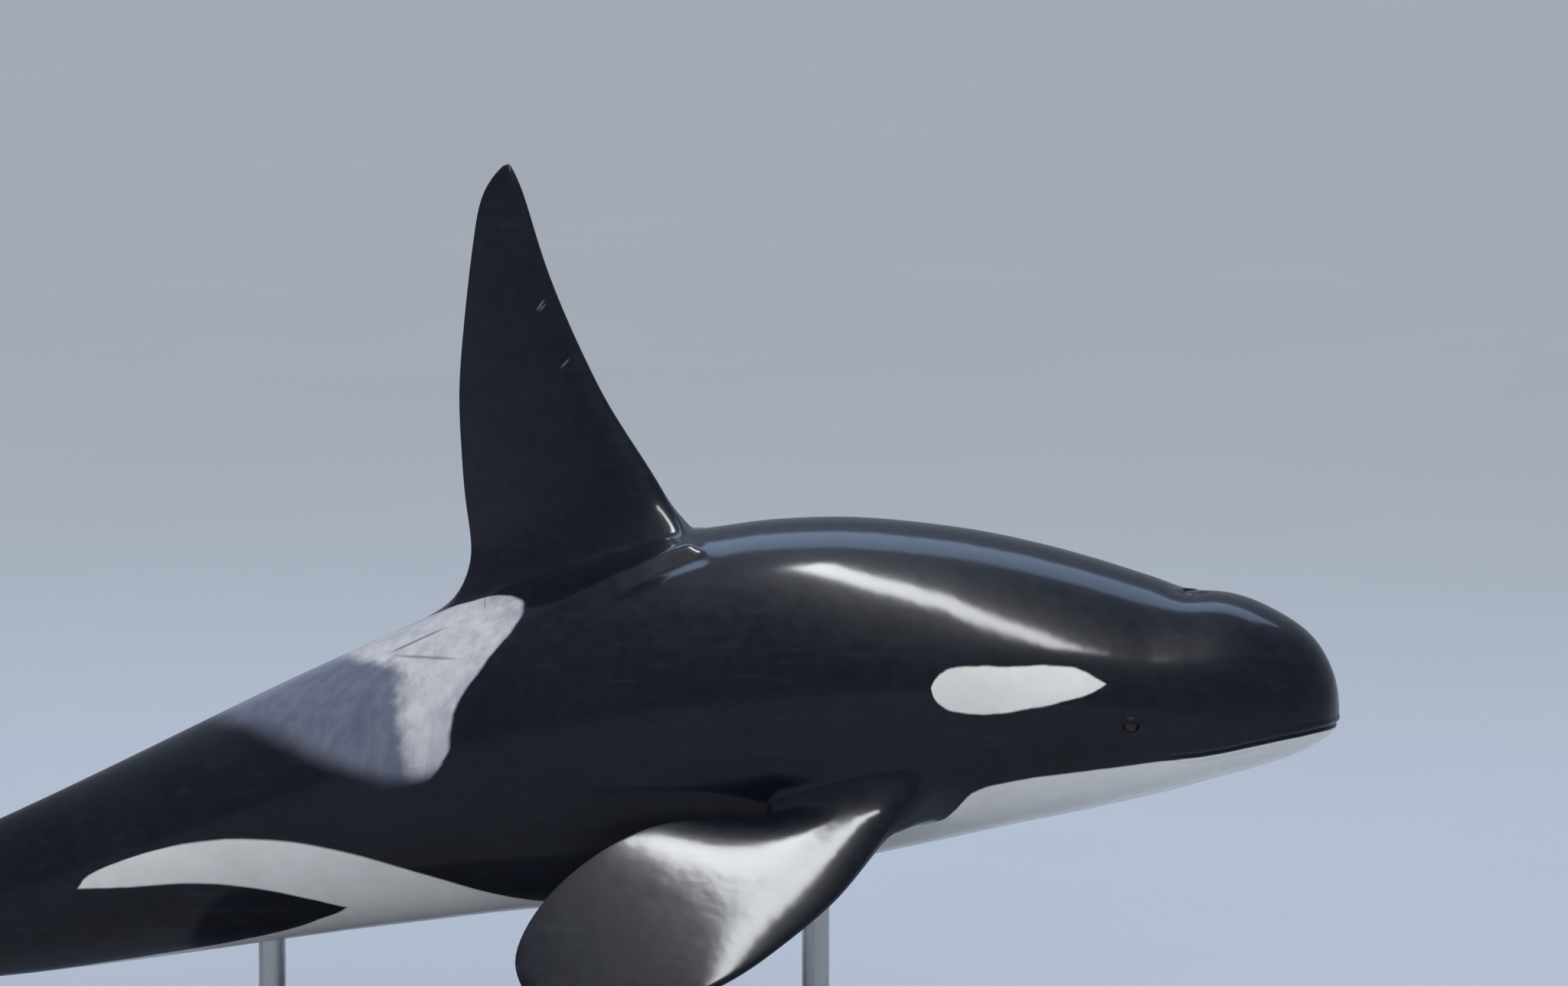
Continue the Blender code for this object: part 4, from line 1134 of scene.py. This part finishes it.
def plate_finish():
    """Dark satin paint with a fine grain and a few light scuffs."""
    f = Finish("stand_plate")
    grain = f.noise(900.0, 2.0)
    clouds = f.noise(3.0, 4.0, 0.6)
    scuffs = f.noise(40.0, 4.0, 0.7, f.stretched((0.3, 2.5, 1.0), (0.0, 0.0, 0.4)))
    colour = f.mix(f.rescaled(clouds, 0.3, 0.7), (0.085, 0.088, 0.095), (0.105, 0.108, 0.115))
    colour = f.mix(f.rescaled(scuffs, 0.66, 0.80, 0.0, 0.35, True), colour, (0.17, 0.17, 0.18))
    f.set(
        Base_Color=colour,
        Roughness=f.rescaled(clouds, 0.3, 0.7, 0.38, 0.52),
        IOR=1.45,
        Normal=f.bump(grain, 0.00015),
    )
    return f.material


def rod_finish():
    """Brushed steel, with its marks running round the rod."""
    f = Finish("stand_rod")
    brushed = f.noise(60.0, 4.0, 0.65, f.stretched((0.4, 0.4, 26.0)))
    clouds = f.noise(12.0, 3.0)
    colour = f.mix(f.rescaled(brushed, 0.3, 0.7), (0.42, 0.43, 0.44), (0.56, 0.57, 0.58))
    f.set(
        Base_Color=colour,
        Metallic=1.0,
        Roughness=f.rescaled(clouds, 0.3, 0.7, 0.26, 0.38),
        Normal=f.bump(brushed, 0.00012),
    )
    return f.material


def floor_finish():
    f = Finish("floor")
    shade = f.noise(0.35, 3.0)
    colour = f.mix(shade, (0.47, 0.50, 0.54), (0.50, 0.53, 0.57))
    f.set(Base_Color=colour, Roughness=0.85, IOR=1.3)
    return f.material


def dress_with(obj, material):
    obj.data.materials.clear()
    obj.data.materials.append(material)


def give_finish(node, material):
    """A carried-over solid keeps its mesh and gets a new material on its slots."""
    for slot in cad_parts[node].material_slots:
        slot.link = "OBJECT"
        slot.material = material


def direction(azimuth, elevation):
    """The direction of a place seen from the middle. Azimuth 0 is at -Y and 90 at +X."""
    a, e = math.radians(azimuth), math.radians(elevation)
    return Vector((math.sin(a) * math.cos(e), -math.cos(a) * math.cos(e), math.sin(e)))


def aimed(obj, place, target):
    obj.location = place
    obj.rotation_euler = (target - place).to_track_quat("-Z", "Y").to_euler()


def add_camera():
    data = bpy.data.cameras.new("camera")
    data.sensor_width = SENSOR
    data.lens = SENSOR * CAMERA_DISTANCE / CAMERA_WIDTH
    data.clip_start, data.clip_end = 1.0, 600.0
    camera = linked("camera", data)
    view = direction(CAMERA_AZIMUTH, CAMERA_ELEVATION)
    aimed(camera, CAMERA_TARGET + view * CAMERA_DISTANCE, CAMERA_TARGET)
    bpy.context.scene.camera = camera


def add_panel(name, azimuth, elevation, distance, size, power, colour):
    """A soft rectangular light, aimed at the middle of the body."""
    data = bpy.data.lights.new(name, "AREA")
    data.shape = "RECTANGLE"
    data.size, data.size_y = size
    data.energy = power
    data.color = colour
    light = linked(name, data)
    aimed(light, PANEL_TARGET + direction(azimuth, elevation) * distance, PANEL_TARGET)
    return light


def add_light():
    """Soft light from high in front, a slanting strip that the wet flank mirrors, and a pale room."""
    data = bpy.data.lights.new("key", "SUN")
    data.energy = SUN_STRENGTH
    data.angle = math.radians(SUN_SPREAD)
    data.color = (1.0, 0.985, 0.96)
    key = linked("key", data)
    aimed(key, direction(-6.0, 70.0) * 20.0, Vector((0.0, 0.0, 0.0)))
    key.visible_glossy = False
    fill = add_panel("fill", 14.0, 20.0, 14.0, (9.0, 5.0), FILL_POWER, (0.97, 0.98, 1.0))
    fill.visible_glossy = False
    add_panel("rim", 172.0, 56.0, 12.0, (14.0, 4.0), RIM_POWER, (0.50, 0.68, 1.0))
    strip = add_panel("strip", 0.0, 90.0, 1.0, (9.5, 0.9), STRIP_POWER, (0.96, 0.98, 1.0))
    strip.visible_diffuse = False
    strip.location = STRIP_PLACE
    strip.rotation_euler = (0.0, 0.0, math.radians(STRIP_HEADING))
    world = bpy.data.worlds.new("room")
    world.use_nodes = True
    background = world.node_tree.nodes["Background"]
    background.inputs["Color"].default_value = ROOM_COLOUR
    background.inputs["Strength"].default_value = ROOM_STRENGTH
    bpy.context.scene.world = world
    bpy.context.scene.view_settings.view_transform = "Standard"


def add_floor():
    half = 400.0
    corners = [(-half, -half, 0.0), (half, -half, 0.0), (half, half, 0.0), (-half, half, 0.0)]
    floor = mesh_object("floor", corners, [[0, 1, 2, 3]])
    floor.location.z = -0.0005
    dress_with(floor, floor_finish())


add_camera()
skin, eyes = skin_object()
dress_with(skin, skin_finish())
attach(skin, "root")
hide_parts(*FLESH)

eye_material = eye_finish()
for name, eye in zip(("eye_left", "eye_right"), eyes):
    ball = eye_ball(name + "_ball", *eye)
    dress_with(ball, eye_material)
    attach(ball, "root")
    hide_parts(name)

give_finish("stand_base", plate_finish())
rod_material = rod_finish()
give_finish("stand_rod_front", rod_material)
give_finish("stand_rod_rear", rod_material)

add_light()
add_floor()
